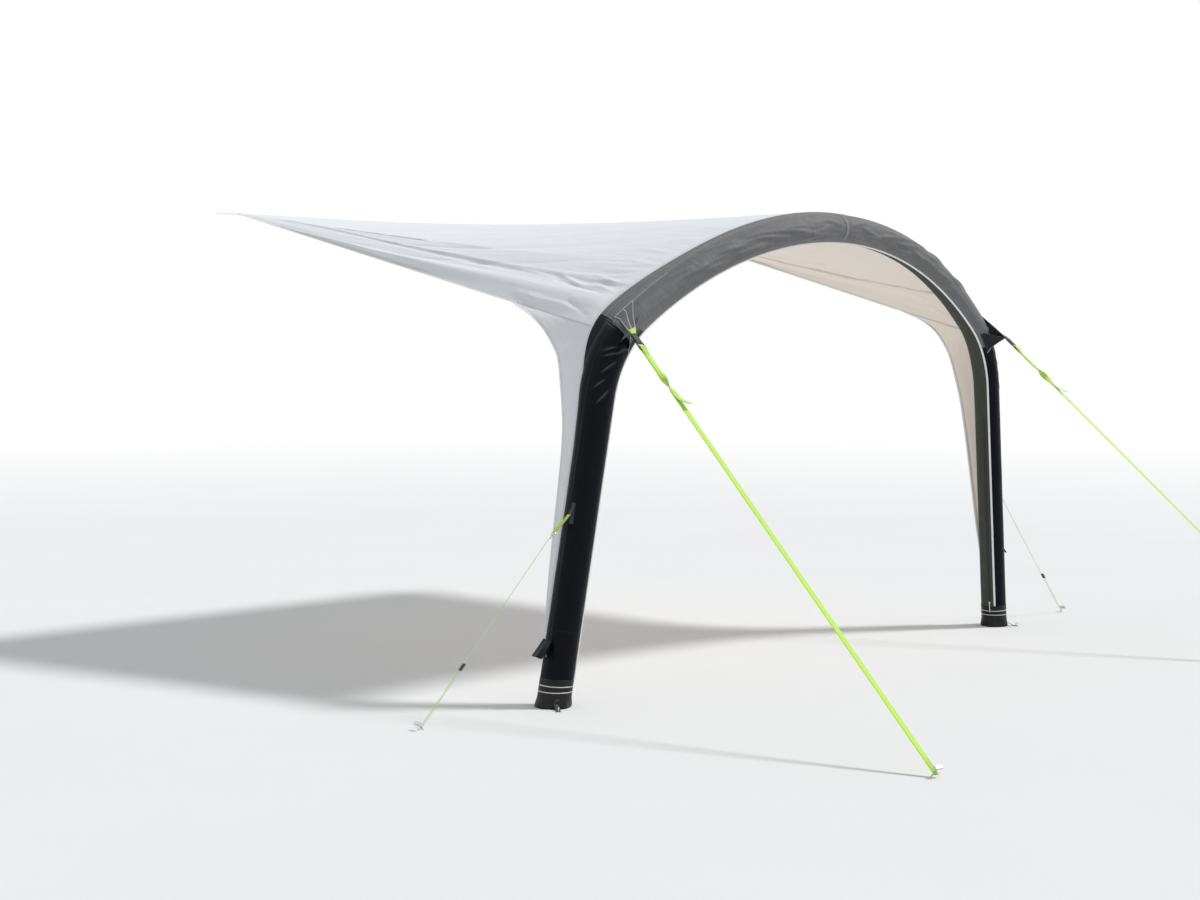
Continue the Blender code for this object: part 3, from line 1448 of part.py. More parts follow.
def build_foot_pegs(eye_at, flat):
    """Bent steel wire pegs through the foot loops."""
    top = eye_at + UP * (FOOT_PEG_RADIUS * 2 + LOOP_LIFT)
    route = [eye_at - UP * FOOT_PEG_BELOW, eye_at, top]
    for step in range(1, 7):
        angle = math.pi * step / 6
        bend = FOOT_PEG_HOOK / 2
        route.append(top + flat * bend * (1 - math.cos(angle)) + UP * bend * math.sin(angle))
    route.append(route[-1] - UP * FOOT_PEG_RADIUS * 2)
    set_pivots(cord_pair("foot_peg", route, FOOT_PEG_RADIUS, STEEL), eye_at)


def main():
    """Build every sub-part of the canopy."""
    clear_scene()
    build_rail()
    build_roof()
    build_side_panels()
    build_wings()
    build_hems()
    bladder, cover, sleeves = build_arch()
    build_apex_tape()
    build_piping()
    build_feet()
    build_valves(bladder, cover, sleeves)
    build_flaps()
    build_zips()
    build_slings()
    build_webbing()
    build_buckles()
    build_storm_straps()
    build_storm_pegs()
    build_guy_patch()
    build_guy_tabs()
    build_guy_rings()
    build_guy_lines()
    build_runners()
    build_guy_pegs()
    eye_at, flat = build_foot_loops()
    build_foot_pegs(eye_at, flat)


main()
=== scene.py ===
"""Fabric, webbing, cords and fittings of an inflatable canopy for a caravan.

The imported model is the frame. The origin is the middle of the rail bead, +X
runs along the rail, +Y points at the caravan and +Z is up. Metres.
"""

import math

import bmesh
import bpy
from mathutils import Matrix, Vector, noise


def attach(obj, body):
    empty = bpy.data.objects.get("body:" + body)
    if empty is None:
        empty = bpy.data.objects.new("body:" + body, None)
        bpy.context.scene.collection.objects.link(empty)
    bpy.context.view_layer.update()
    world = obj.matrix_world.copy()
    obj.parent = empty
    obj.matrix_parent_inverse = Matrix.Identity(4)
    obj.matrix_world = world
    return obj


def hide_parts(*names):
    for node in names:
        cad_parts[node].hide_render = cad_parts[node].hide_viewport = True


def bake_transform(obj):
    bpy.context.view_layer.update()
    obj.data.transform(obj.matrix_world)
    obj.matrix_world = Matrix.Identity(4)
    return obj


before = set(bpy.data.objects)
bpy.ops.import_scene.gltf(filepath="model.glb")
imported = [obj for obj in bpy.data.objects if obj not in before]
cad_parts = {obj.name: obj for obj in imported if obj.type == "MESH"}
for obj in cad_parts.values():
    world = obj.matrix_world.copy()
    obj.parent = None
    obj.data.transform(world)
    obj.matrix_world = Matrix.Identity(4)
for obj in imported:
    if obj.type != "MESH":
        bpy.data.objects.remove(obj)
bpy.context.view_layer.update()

# Sizes of the canopy, as the model has them
RAIL_HEIGHT = 2.44
HALF_WIDTH = 1.858
HALF_SPAN = 1.85
FOOT_DEPTH = 2.588
APEX_HEIGHT = 2.314
ROOF_RADIUS = 2.306
SHOULDER_RADIUS = 0.60
LEG_LEAN = math.radians(8.75)
LEG_REACH = 0.075
APEX_REACH = 0.215
SLEEVE_RADIUS = 0.0719
EAR_LEG = 0.014
EAR_SHOULDER = 0.034
EAR_ROOF = 0.010
EAR_SPREAD = 0.30
DRAW_LEG = 0.012
DRAW_SHOULDER = 0.082
DRAW_ROOF = 0.036
DRAW_SPREAD_LEG = 0.22
DRAW_SPREAD_ROOF = 0.38
RAIL_OVERLAP = 0.024
RAIL_LIFT = 0.0011
CORNER_WIDTH = 0.030
SEAM_GAP = 0.0012
TOUCH = 0.0004
WING_DEPTH = 0.20
WING_STOP_RUN = 0.32
HEM_TURN_SHARE = 0.785
HEM_RADIUS = 0.0022
HEM_HALF_WIDTH = 0.0058
PIPING_RADIUS = 0.0034
PIPING_BOTTOM = 0.139
SLEEVE_BOTTOM = 0.055
CUFF_TOP = 0.135
CUFF_BOTTOM = 0.0046
CUFF_OUT = 0.0020
FOOT_LEVEL_RUN = 0.060
FOOT_SQUARE_RUN = 0.200
PIPING_ANGLE_LEG = math.radians(38)
PIPING_ANGLE_APEX = math.radians(12)
SEAM_TURN = math.radians(202.5)
WING_SEAM_SHARES = (
    (0.00, 0.00, 0.00, 0.00),
    (0.10, 0.10, 0.02, 0.04),
    (0.25, 0.19, 0.05, 0.09),
    (0.50, 0.29, 0.22, 0.24),
    (0.75, 0.37, 0.56, 0.46),
    (1.00, 0.44, 0.98, 0.72),
)
WING_LEG_SHARES = (
    (0.00, 0.44, 0.98, 0.72),
    (0.10, 0.10, 0.82, 0.56),
    (0.21, -0.06, 0.65, 0.35),
    (0.43, -0.09, 0.49, 0.15),
    (0.65, -0.06, 0.37, 0.05),
    (0.87, -0.04, 0.22, 0.00),
    (1.00, -0.01, 0.06, 0.00),
)

GROUND = Vector((0, 0, -RAIL_HEIGHT))
UP = Vector((0, 0, 1))
FRONT = Vector((0, -1, 0))
MIRROR_X = Matrix.Scale(-1, 4, Vector((1, 0, 0)))


# Line of the arch
def arch_outline():
    """Tangent arcs of one half of the arch: leg, shoulder and roof."""
    roof_centre = Vector((0, APEX_HEIGHT - ROOF_RADIUS))
    foot = Vector((HALF_SPAN, 0))
    along = Vector((-math.sin(LEG_LEAN), math.cos(LEG_LEAN)))
    inwards = Vector((-math.cos(LEG_LEAN), -math.sin(LEG_LEAN)))
    offset = foot + SHOULDER_RADIUS * inwards - roof_centre
    reach = (ROOF_RADIUS - SHOULDER_RADIUS) ** 2
    middle = offset.dot(along)
    leg = -middle + math.sqrt(middle ** 2 - offset.dot(offset) + reach)
    shoulder_centre = roof_centre + offset + leg * along
    swing = shoulder_centre - roof_centre
    roof_angle = math.atan2(swing.x, swing.y)
    shoulder_angle = math.pi / 2 - LEG_LEAN - roof_angle
    return roof_centre, foot, along, leg, shoulder_centre, roof_angle, shoulder_angle


ROOF_CENTRE, FOOT, ALONG_LEG, LEG_RUN, SHOULDER_CENTRE, ROOF_ANGLE, SHOULDER_ANGLE = arch_outline()
SHOULDER_RUN = SHOULDER_RADIUS * SHOULDER_ANGLE
ROOF_RUN = ROOF_RADIUS * ROOF_ANGLE
HALF_RUN = LEG_RUN + SHOULDER_RUN + ROOF_RUN
SIDE_SEAM_RUN = LEG_RUN + SHOULDER_RUN + ROOF_RUN * 2 / 9
SHOULDER_SEAM = LEG_RUN + SHOULDER_RUN * 4 / 6


def smooth_step(value):
    """Ease from 0 to 1."""
    value = min(max(value, 0), 1)
    return value * value * (3 - 2 * value)


def bump(value, middle, width):
    """Soft hill of height 1 about a middle."""
    return math.exp(-((value - middle) / width) ** 2)


def reach_out(run):
    """How far the arch stands in front of its feet, at a run along it."""
    if run <= LEG_RUN:
        return LEG_REACH * run / LEG_RUN
    upper = HALF_RUN - LEG_RUN
    share = (run - LEG_RUN) / upper
    start_slope = LEG_REACH / LEG_RUN * upper
    keep = 2 * share ** 3 - 3 * share ** 2 + 1
    slope = share ** 3 - 2 * share ** 2 + share
    return keep * LEG_REACH + slope * start_slope + (1 - keep) * APEX_REACH


def centre(run):
    """Point on the left half's centre line; past the apex it is the right half's."""
    if run > HALF_RUN:
        other = centre(2 * HALF_RUN - run)
        return Vector((-other.x, other.y, other.z))
    if run < LEG_RUN:
        flat = FOOT + run * ALONG_LEG
    elif run < LEG_RUN + SHOULDER_RUN:
        angle = math.pi / 2 - LEG_LEAN - (run - LEG_RUN) / SHOULDER_RADIUS
        flat = SHOULDER_CENTRE + SHOULDER_RADIUS * Vector((math.sin(angle), math.cos(angle)))
    else:
        angle = (HALF_RUN - run) / ROOF_RADIUS
        flat = ROOF_CENTRE + ROOF_RADIUS * Vector((math.sin(angle), math.cos(angle)))
    return Vector((-flat.x, -FOOT_DEPTH - reach_out(run), flat.y)) + GROUND


def arch_frame(run):
    """Centre, tangent, inward and front directions at a run along the arch."""
    tangent = (centre(run + 0.002) - centre(run - 0.002)).normalized()
    front = (FRONT - FRONT.dot(tangent) * tangent).normalized()
    return centre(run), tangent, tangent.cross(front), front


def ear(run):
    """How far the sleeve is drawn out towards the roof seam."""
    top = LEG_RUN + SHOULDER_RUN / 2
    base = EAR_LEG if run < top else EAR_ROOF
    return base + (EAR_SHOULDER - base) * bump(run, top, EAR_SPREAD)


def drawn_out(run):
    """How far the roof cloth draws its seam away from the air tube."""
    top = SHOULDER_SEAM + 0.05
    spread = DRAW_SPREAD_LEG if run < top else DRAW_SPREAD_ROOF
    base = DRAW_LEG + (DRAW_ROOF - DRAW_LEG) * smooth_step((run - LEG_RUN) / 0.6)
    return base + (DRAW_SHOULDER - base) * bump(run, top, spread)


def spoke(run, turn):
    """Outward direction at a turn counted from the piping."""
    tangent, inward, front = arch_frame(run)[1:]
    share = smooth_step((run - LEG_RUN) / (HALF_RUN - LEG_RUN))
    angle = PIPING_ANGLE_LEG + (PIPING_ANGLE_APEX - PIPING_ANGLE_LEG) * share + turn
    return math.cos(angle) * inward + math.sin(angle) * front


def shell(run, turn, lift=0.0, draw=True):
    """Point on the left sleeve: round, with flat sides where the seam draws it out to an edge."""
    off = abs((turn - SEAM_TURN + math.pi) % (2 * math.pi) - math.pi)
    radius = SLEEVE_RADIUS + ear(run) * max(0.0, math.cos(off)) ** 4
    if draw:
        slope = math.acos(SLEEVE_RADIUS / (SLEEVE_RADIUS + drawn_out(run)))
        if off < slope:
            radius = max(radius, SLEEVE_RADIUS / math.cos(slope - off))
    middle, tangent = arch_frame(run)[:2]
    point = middle + (radius + lift) * spoke(run, turn)
    if run >= FOOT_SQUARE_RUN:
        return point
    flatten = min((FOOT_SQUARE_RUN - run) / (FOOT_SQUARE_RUN - FOOT_LEVEL_RUN), 1)
    return point - flatten * (point.z - middle.z) / tangent.z * tangent


def front_edge(run):
    """Where the roof cloth is sewn to the sleeve."""
    if run > HALF_RUN:
        return MIRROR_X @ front_edge(2 * HALF_RUN - run)
    return shell(run, SEAM_TURN, SEAM_GAP)


def hem_guide(run):
    """Line beside the tube that the free edge of the wing is measured from."""
    return shell(run, SEAM_TURN, SEAM_GAP, draw=False)


def rail_edge(across):
    """Point on the roof cloth's rear edge, over the bead's tape."""
    return Vector((across, -RAIL_OVERLAP, RAIL_LIFT))


# Camera
def place_camera():
    """Eye height in front of the left-hand end, looking across the canopy."""
    camera = bpy.data.objects.new("camera", bpy.data.cameras.new("camera"))
    camera.data.lens = 56.7
    camera.data.sensor_width = 36
    camera.data.clip_end = 300
    camera.location = (-7.9367, -9.0002, -0.7461)
    camera.rotation_euler = (math.radians(86.884), 0, math.radians(-44.908))
    bpy.context.scene.collection.objects.link(camera)
    bpy.context.scene.camera = camera


place_camera()
bpy.context.scene.view_settings.view_transform = "Standard"


# Making pieces
def new_piece(name, work, smooth=True):
    """Link a finished bmesh as one piece."""
    mesh = bpy.data.meshes.new(name)
    work.to_mesh(mesh)
    work.free()
    if smooth:
        mesh.shade_smooth()
    piece = bpy.data.objects.new(name, mesh)
    bpy.context.scene.collection.objects.link(piece)
    return piece


def woven_grid(work, columns, rows, place, size=(1, 1), flat=None):
    """Grid laid out by place(u, v); its UV map is its flat size in metres, or what flat(u, v) gives."""
    made = bmesh.ops.create_grid(work, x_segments=columns, y_segments=rows, size=0.5)["verts"]
    layer = work.loops.layers.uv.verify()
    spots = {vert: (vert.co.x + 0.5, vert.co.y + 0.5) for vert in made}
    for face in {face for vert in made for face in vert.link_faces}:
        for loop in face.loops:
            u, v = spots[loop.vert]
            loop[layer].uv = flat(u, v) if flat else (u * size[0], v * size[1])
    for vert in made:
        vert.co = place(*spots[vert])
    return spots


def merge(work, distance=0.00002, sides=0):
    """Join what meets, close open ends of up to so many sides, and turn every face outwards."""
    bmesh.ops.remove_doubles(work, verts=work.verts, dist=distance)
    if sides:
        rims = [edge for edge in work.edges if edge.is_boundary]
        bmesh.ops.holes_fill(work, edges=rims, sides=sides)
    bmesh.ops.recalc_face_normals(work, faces=work.faces)


def thicken(piece, wall, offset=0, lining=0):
    """Give a sheet its wall as a live modifier; its inner face wears the finish that many slots on."""
    solid = piece.modifiers.new("wall", "SOLIDIFY")
    solid.thickness = wall
    solid.offset = offset
    solid.use_even_offset = False
    solid.material_offset = lining
    return piece


def face_away(piece, middle):
    """Turn a sheet so that its faces look away from a point."""
    faces = piece.data.polygons
    if sum((Vector(face.center) - middle).dot(face.normal) * face.area for face in faces) < 0:
        piece.data.flip_normals()
    return piece


def cloth_area(piece):
    """Area of one face of a sheet."""
    return sum(face.area for face in piece.data.polygons)


def mirror_piece(piece, name=None):
    """The same piece on the right-hand side, with the same wall."""
    work = bmesh.new()
    work.from_mesh(piece.data)
    bmesh.ops.transform(work, matrix=MIRROR_X, verts=work.verts)
    bmesh.ops.reverse_faces(work, faces=work.faces)
    other = new_piece(name or piece.name.replace("_left", "_right"), work)
    for wall in piece.modifiers:
        thicken(other, wall.thickness, wall.offset, wall.material_offset)
    return other


def swap_side(piece, name):
    """The mirrored piece alone; the left-hand one was only its pattern."""
    other = mirror_piece(piece, name)
    bpy.data.objects.remove(piece)
    return other


def carry_frames(route):
    """A side direction at each point of a route, carried along without twist."""
    ways = []
    for step in range(len(route)):
        before = route[max(step - 1, 0)]
        after = route[min(step + 1, len(route) - 1)]
        ways.append((after - before).normalized())
    side = ways[0].orthogonal().normalized()
    frames = []
    for way in ways:
        side = (side - side.dot(way) * way).normalized()
        frames.append((way, side, way.cross(side)))
    return frames


def route_length(route):
    """Length of a route of points."""
    return sum((after - before).length for before, after in zip(route, route[1:]))


def tube(name, route, radius, sides=10, grow=None):
    """Round tube along a route, with closed ends."""
    frames = carry_frames(route)
    last = len(route) - 1

    def place(u, v):
        step = round(v * last)
        way, side, other = frames[step]
        turn = 2 * math.pi * u
        size = radius * (grow[step] if grow else 1)
        return route[step] + size * (math.cos(turn) * side + math.sin(turn) * other)

    work = bmesh.new()
    woven_grid(work, sides, last, place, (2 * math.pi * radius, route_length(route)))
    merge(work, radius / 200, sides)
    return new_piece(name, work)


def strip(name, route, widths, thick, columns=4):
    """Flat strap along a route; each width is a vector across the strap."""
    last = len(route) - 1
    lifts = []
    for step, side in enumerate(widths):
        before = route[max(step - 1, 0)]
        after = route[min(step + 1, last)]
        lifts.append((after - before).cross(side).normalized() * thick / 2)

    def face_of(sign):
        def place(u, v):
            step = round(v * last)
            edge = 0.55 + 0.45 * min(1, 10 * u * (1 - u))
            return route[step] + widths[step] * (u - 0.5) + sign * lifts[step] * edge
        return place

    work = bmesh.new()
    for sign in (1, -1):
        woven_grid(work, columns, last, face_of(sign), (widths[0].length, route_length(route)))
    rims = [edge for edge in work.edges if edge.is_boundary]
    bmesh.ops.bridge_loops(work, edges=rims)
    bmesh.ops.recalc_face_normals(work, faces=work.faces)
    return new_piece(name, work)


def between(start, end, steps):
    """Evenly spaced values from a start up to, but without, an end."""
    return [start + (end - start) * step / steps for step in range(steps)]


def on_side(side, piece):
    """The left-hand piece itself, or its mirrored copy."""
    return piece if side == "left" else mirror_piece(piece)


def points_on(side, points):
    """Points of the left-hand side, mirrored for the right."""
    return points if side == "left" else [MIRROR_X @ point for point in points]


def fit_cord(side, cord, loose, node, route):
    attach(cord, "canopy")
    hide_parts(node + "_" + side)
    tuple(route[0])
    route_length(route)
    [tuple(point) for point in route]
    return [cord, loose]


# Storm straps
STRAP_WIDTH = 0.030
STRAP_THICK = 0.0014
WEBBING_LENGTH = 0.060
BUCKLE_LENGTH = 0.044
BUCKLE_BAR = 0.004
STRAP_OFFSET = 0.0046
STRAP_TWIST_START = 0.24
STRAP_TWIST_END = 0.40
TAIL_END = 0.50
TAIL_LAY = 0.0032
TAIL_SPREAD = 0.030
TAIL_DRIFT = 0.017
SLING_IN, SLING_OUT, SLING_DOWN = 0.056, 0.151, 0.014
STORM_PEG_PLACE = Vector((0.049, -2.136, 0.012))


def sling_tip():
    """Point in front of the shoulder where the sling ends."""
    middle, tangent, inward, front = arch_frame(SHOULDER_SEAM)
    return middle - SLING_IN * inward + SLING_OUT * front - SLING_DOWN * tangent


STRAP_START = sling_tip()
STRAP_END = centre(0) + STORM_PEG_PLACE
STRAP_WAY = (STRAP_END - STRAP_START).normalized()
STRAP_SIDE = STRAP_WAY.cross(UP).normalized()
STRAP_LIFT = STRAP_SIDE.cross(STRAP_WAY).normalized()
STRAP_LENGTH = (STRAP_END - STRAP_START).length
BUCKLE_AT = WEBBING_LENGTH + BUCKLE_LENGTH / 2 - BUCKLE_BAR


def strap_point(along, lift):
    """Point beside the strap's line."""
    return STRAP_START + STRAP_WAY * along + STRAP_LIFT * lift


def strap_axes(along):
    """Width direction and upper face of the strap, which has a half twist."""
    turn = math.pi * smooth_step((STRAP_TWIST_END - along) / (STRAP_TWIST_END - STRAP_TWIST_START))
    side = math.cos(turn) * STRAP_SIDE + math.sin(turn) * STRAP_LIFT
    face = math.cos(turn) * STRAP_LIFT - math.sin(turn) * STRAP_SIDE
    return side, face


def strap_bend():
    """Half turn round the buckle's middle bar, from above to below."""
    angles = [math.pi / 2 - math.pi * step / 8 for step in range(9)]
    return [
        strap_point(BUCKLE_AT - STRAP_OFFSET * math.cos(angle), STRAP_OFFSET * math.sin(angle))
        for angle in angles
    ]


def make_strap():
    """Lime strap from the buckle to the peg, and its loose tail."""
    near = BUCKLE_AT + BUCKLE_LENGTH / 2 + STRAP_WIDTH / 3
    leave = near + STRAP_WIDTH
    bend = strap_bend()
    alongs = [leave] + between(STRAP_TWIST_START, STRAP_TWIST_END, 16)
    alongs += between(STRAP_TWIST_END, STRAP_LENGTH, 16) + [STRAP_LENGTH]
    main = [bend[4]] + bend[3::-1] + [strap_point(near, STRAP_OFFSET)]
    widths = [strap_axes(near)[0] * STRAP_WIDTH] * len(main)
    main += [strap_point(along, 0) for along in alongs]
    widths += [strap_axes(along)[0] * STRAP_WIDTH for along in alongs]
    strap = strip("storm_strap_cloth_left", main, widths, STRAP_THICK)

    tail = bend[4:] + [strap_point(near, -STRAP_OFFSET)]
    widths = [strap_axes(near)[0] * STRAP_WIDTH] * len(tail)
    alongs = [leave] + between(STRAP_TWIST_START, STRAP_TWIST_END, 16)
    alongs += between(STRAP_TWIST_END, TAIL_END, 8) + [TAIL_END]
    for along in alongs:
        side, face = strap_axes(along)
        free = max(0, along - STRAP_TWIST_END) / (TAIL_END - STRAP_TWIST_END)
        peel = face * TAIL_SPREAD - side * TAIL_DRIFT
        tail.append(strap_point(along, 0) + face * TAIL_LAY + peel * free ** 2)
        widths.append(side * STRAP_WIDTH)
    loose = strip("storm_strap_tail_left", tail, widths, STRAP_THICK)
    return main, strap, loose


STRAPS = []
route, left_strap, left_tail = make_strap()
for side in ("left", "right"):
    strap, tail = on_side(side, left_strap), on_side(side, left_tail)
    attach(tail, "canopy")
    STRAPS += fit_cord(
        side, strap, tail, "storm_strap", points_on(side, route),
    )


# Side guy lines
RING_WIDTH = 0.0280
RING_CORNER = 0.0030
RING_WIRE = 0.0017
CORD_RADIUS = 0.0015
KNOT_RADIUS = 0.0034
KNOT_LENGTH = 0.010
PEG_RADIUS = 0.0030
LINE_SPACING = 2 * (PEG_RADIUS + CORD_RADIUS + TOUCH)
RUNNER_FROM_PEG = 0.335
RUNNER_LENGTH = 0.038
GUY_PATCH_END = 0.965
GUY_PATCH_TURN = math.radians(135)
RING_BELOW_PATCH = 0.036
PATCH_THICK = 0.0014
RING_OUT, RING_BACK, RING_DOWN = 0.0593, 0.0459, 0.1161
GUY_PEG_PLACE = Vector((-0.793, 0.022, 0.012))
END_GAP = 0.0005


def ring_bar():
    """Middle of the ring's straight bar, beside the leg."""
    run = GUY_PATCH_END - RING_BELOW_PATCH
    outward = spoke(run, GUY_PATCH_TURN)
    side = arch_frame(run)[1].cross(outward).normalized()
    lobe = max(0.0, math.cos(GUY_PATCH_TURN - SEAM_TURN))
    seat = centre(run) + (SLEEVE_RADIUS + ear(run) * lobe ** 4 + PATCH_THICK) * outward
    return seat + RING_OUT * outward - RING_BACK * side - RING_DOWN * arch_frame(GUY_PATCH_END)[1]


RING_BAR = ring_bar()
GUY_END = centre(0) + GUY_PEG_PLACE
RING_DEPTH = RING_CORNER + RING_WIDTH / 2
GUY_WAY = (GUY_END - RING_BAR).normalized()
GUY_SIDE = GUY_WAY.cross(UP).normalized()
GUY_LIFT = GUY_SIDE.cross(GUY_WAY).normalized()
GUY_LENGTH = (GUY_END - RING_BAR).length


def guy_point(along, side, lift=0.0):
    """Point beside the guy's line."""
    return RING_BAR + GUY_WAY * along + GUY_SIDE * side + GUY_LIFT * lift


def guy_route():
    """Cord tied to the ring and taken round the peg."""
    half = LINE_SPACING / 2
    loop = RING_WIRE + TOUCH + CORD_RADIUS
    route = [guy_point(RING_DEPTH + 2 * loop, 0, loop)]
    for step in range(9):
        angle = math.pi * step / 8
        route.append(guy_point(RING_DEPTH - loop * math.sin(angle), 0, loop * math.cos(angle)))
    route.append(guy_point(RING_DEPTH + 2 * loop, 0, -loop))
    thick = [1.0] * len(route)
    knot = RING_DEPTH + 2 * loop + CORD_RADIUS
    for step in range(9):
        route.append(guy_point(knot + KNOT_LENGTH * step / 8, 0))
        thick.append(1 + (KNOT_RADIUS / CORD_RADIUS - 1) * math.sin(math.pi * step / 8) ** 0.5)
    for along in between(knot + 2 * KNOT_LENGTH, GUY_LENGTH, 16) + [GUY_LENGTH]:
        route.append(guy_point(along, half))
    for step in range(1, 8):
        angle = math.pi * step / 8
        route.append(guy_point(GUY_LENGTH + half * math.sin(angle), half * math.cos(angle)))
    route.append(guy_point(GUY_LENGTH, -half))
    thick += [1.0] * (len(route) - len(thick))
    return route, thick


def return_route():
    """Cord's way back from the peg to the far end of the runner."""
    back_end = GUY_LENGTH - RUNNER_FROM_PEG - RUNNER_LENGTH / 2
    alongs = between(GUY_LENGTH - END_GAP, back_end, 30) + [back_end]
    return [guy_point(along, -LINE_SPACING / 2) for along in alongs]


LINES = []
route, thick = guy_route()
left_line = tube("guy_cord_left", route, CORD_RADIUS, 8, thick)
left_return = tube("guy_return_left", return_route(), CORD_RADIUS, 8)
runner_end = GUY_LENGTH - RUNNER_FROM_PEG + RUNNER_LENGTH / 2
for side in ("left", "right"):
    line, back = on_side(side, left_line), on_side(side, left_return)
    held, runner = points_on(side, [guy_point(GUY_LENGTH, 0), guy_point(runner_end, 0)])
    tuple(held)
    tuple(runner)
    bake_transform(back)
    LINES += fit_cord(
        side, line, back, "guy_line", points_on(side, route),
    )


# Roof cloth and wings
MAIN_COLUMNS = 280
FREE_ROWS = 78
SEWN_ROWS = 52
LEG_ROWS = 96
WING_COLUMNS = 18
CLOTH_LENGTH = 2.65
HALF_CLOTH = 1.653
# Streaks: place across at the rear and at the front, width, rise
ROOF_STREAKS = (
    (0.14, 0.33, 0.020, -0.0060), (0.42, 0.515, 0.034, -0.0070), (0.30, 0.42, 0.030, 0.0030),
    (0.62, 0.68, 0.030, -0.0050), (0.80, 0.82, 0.030, -0.0045), (0.98, 0.96, 0.045, -0.0070),
    (1.24, 1.20, 0.040, -0.0055), (1.50, 1.42, 0.060, -0.0065), (1.95, 1.80, 0.090, -0.0065),
)
# Creases: place across and down at each end, rise, width
ROOF_CREASES = (
    (0.172, 0.83, 0.128, 0.905, 0.0095, 0.013), (0.192, 0.905, 0.160, 0.985, 0.0080, 0.012),
    (0.135, 0.84, 0.108, 0.97, -0.0080, 0.012), (0.165, 0.72, 0.150, 0.82, 0.0070, 0.013),
    (0.150, 0.92, 0.128, 0.98, 0.0070, 0.011), (0.150, 0.62, 0.140, 0.74, -0.0050, 0.014),
    (0.028, 0.82, 0.014, 0.88, 0.0080, 0.014), (0.052, 0.91, 0.026, 0.975, -0.0080, 0.013),
    (0.036, 0.78, 0.034, 0.97, 0.0090, 0.016), (0.205, 0.94, 0.235, 0.985, 0.0050, 0.011),
    (0.300, 0.93, 0.290, 0.985, 0.0045, 0.012), (0.385, 0.90, 0.370, 0.985, 0.0050, 0.014),
    (0.470, 0.92, 0.480, 0.985, 0.0040, 0.014), (0.600, 0.90, 0.585, 0.985, 0.0045, 0.016),
)


def rail_across(run):
    """Where the thread of cloth that is sewn at a run meets the rail."""
    if run > HALF_RUN:
        return -rail_across(2 * HALF_RUN - run)
    if run < SIDE_SEAM_RUN:
        return -HALF_WIDTH + CORNER_WIDTH * (run - SHOULDER_SEAM) / (SIDE_SEAM_RUN - SHOULDER_SEAM)
    return -(HALF_WIDTH - CORNER_WIDTH) * (HALF_RUN - run) / (HALF_RUN - SIDE_SEAM_RUN)


def along_table(table, place):
    """Smooth line through a table of out, back and down shares."""
    for step in range(len(table) - 1):
        if place <= table[step + 1][0] or step == len(table) - 2:
            break
    low, high = table[step], table[step + 1]
    before = table[max(step - 1, 0)]
    after = table[min(step + 2, len(table) - 1)]
    span = high[0] - low[0]
    mix = min(max((place - low[0]) / span, 0), 1)
    rise = (Vector(high[1:]) - Vector(before[1:])) / (high[0] - before[0]) * span
    fall = (Vector(after[1:]) - Vector(low[1:])) / (after[0] - low[0]) * span
    keep = 2 * mix ** 3 - 3 * mix ** 2 + 1
    start = mix ** 3 - 2 * mix ** 2 + mix
    end = mix ** 3 - mix ** 2
    return keep * Vector(low[1:]) + start * rise + end * fall + (1 - keep) * Vector(high[1:])


def side_share(run):
    """Place across half of the roof: 0 at the hem's line, 1 at the ridge."""
    return (min(run, 2 * HALF_RUN - run) - SHOULDER_SEAM) / (HALF_RUN - SHOULDER_SEAM)


def seam_share(down):
    """Where the long seam between the side panel and the roof lies."""
    return 0.17 + 0.20 * max(0.0, 1 - down / 0.57) ** 2


def cloth_spot(side, down):
    """Place on half of the roof laid flat, in metres; the cloth is narrower at the rail's end."""
    return Vector((side * HALF_CLOTH * (0.15 + 0.85 * down), down * CLOTH_LENGTH))


def roof_crease(side, down):
    """Height of the short creases near the arch."""
    here = cloth_spot(side, down)
    height = 0.0
    for side_0, down_0, side_1, down_1, rise, width in ROOF_CREASES:
        start = cloth_spot(side_0, down_0)
        along = cloth_spot(side_1, down_1) - start
        share = min(max((here - start).dot(along) / along.length_squared, 0), 1)
        off = (here - start - share * along).length / width
        if off < 3:
            height += rise * math.exp(-off * off) * math.sin(math.pi * (0.12 + 0.76 * share))
    return height


def roof_fold(run, down):
    """Height of the folds and of the slack in the roof cloth."""
    side = side_share(run)
    hold = smooth_step(side / 0.04) * smooth_step(down / 0.06) * smooth_step((1 - down) / 0.03)
    fan = side / max(down, 0.08)
    height = -0.020 * math.sin(math.pi * down) * smooth_step(side / 0.3)
    reach = math.sin(math.pi * down ** 0.8) * smooth_step((down - 0.15) / 0.55)
    for rear, front, width, rise in ROOF_STREAKS:
        middle = rear + (front - rear) * (down - 0.45) / 0.4
        height += rise * reach / (1 + ((fan - middle) / width) ** 2) ** 1.5
    wide = min(1.0, down / 0.75)
    ridge = 0.078 * wide
    height += 0.016 * smooth_step(down / 0.35) * bump(side, ridge, 0.030 * wide + 0.004)
    seam = seam_share(down)
    height -= 0.0065 * smooth_step((down - 0.2) / 0.4) * bump(side, seam - 0.016, 0.015)
    height += 0.0030 * bump(side, seam + 0.010, 0.010) * smooth_step(down / 0.3)
    near = smooth_step((down - 0.80) / 0.17)
    height += 0.0032 * near * noise.noise(Vector((side * 34, down * 5, 3.7)))
    pull = noise.noise(Vector((side * 60 - down * 12, down * 8, 1.3)))
    height += 0.0050 * near * bump(side, 0.20, 0.14) * pull
    height += 0.0018 * noise.noise(Vector((side * 14, down * 5, 9.1)))
    height += 0.0016 * noise.noise(Vector((fan * 22, down * 3, 5.2))) * reach
    return (height + roof_crease(side, down)) * hold


def knee_point():
    """Where the hem turns from the rail corner's straight edge into the wing."""
    return rail_edge(-HALF_WIDTH).lerp(hem_guide(SHOULDER_SEAM), HEM_TURN_SHARE)


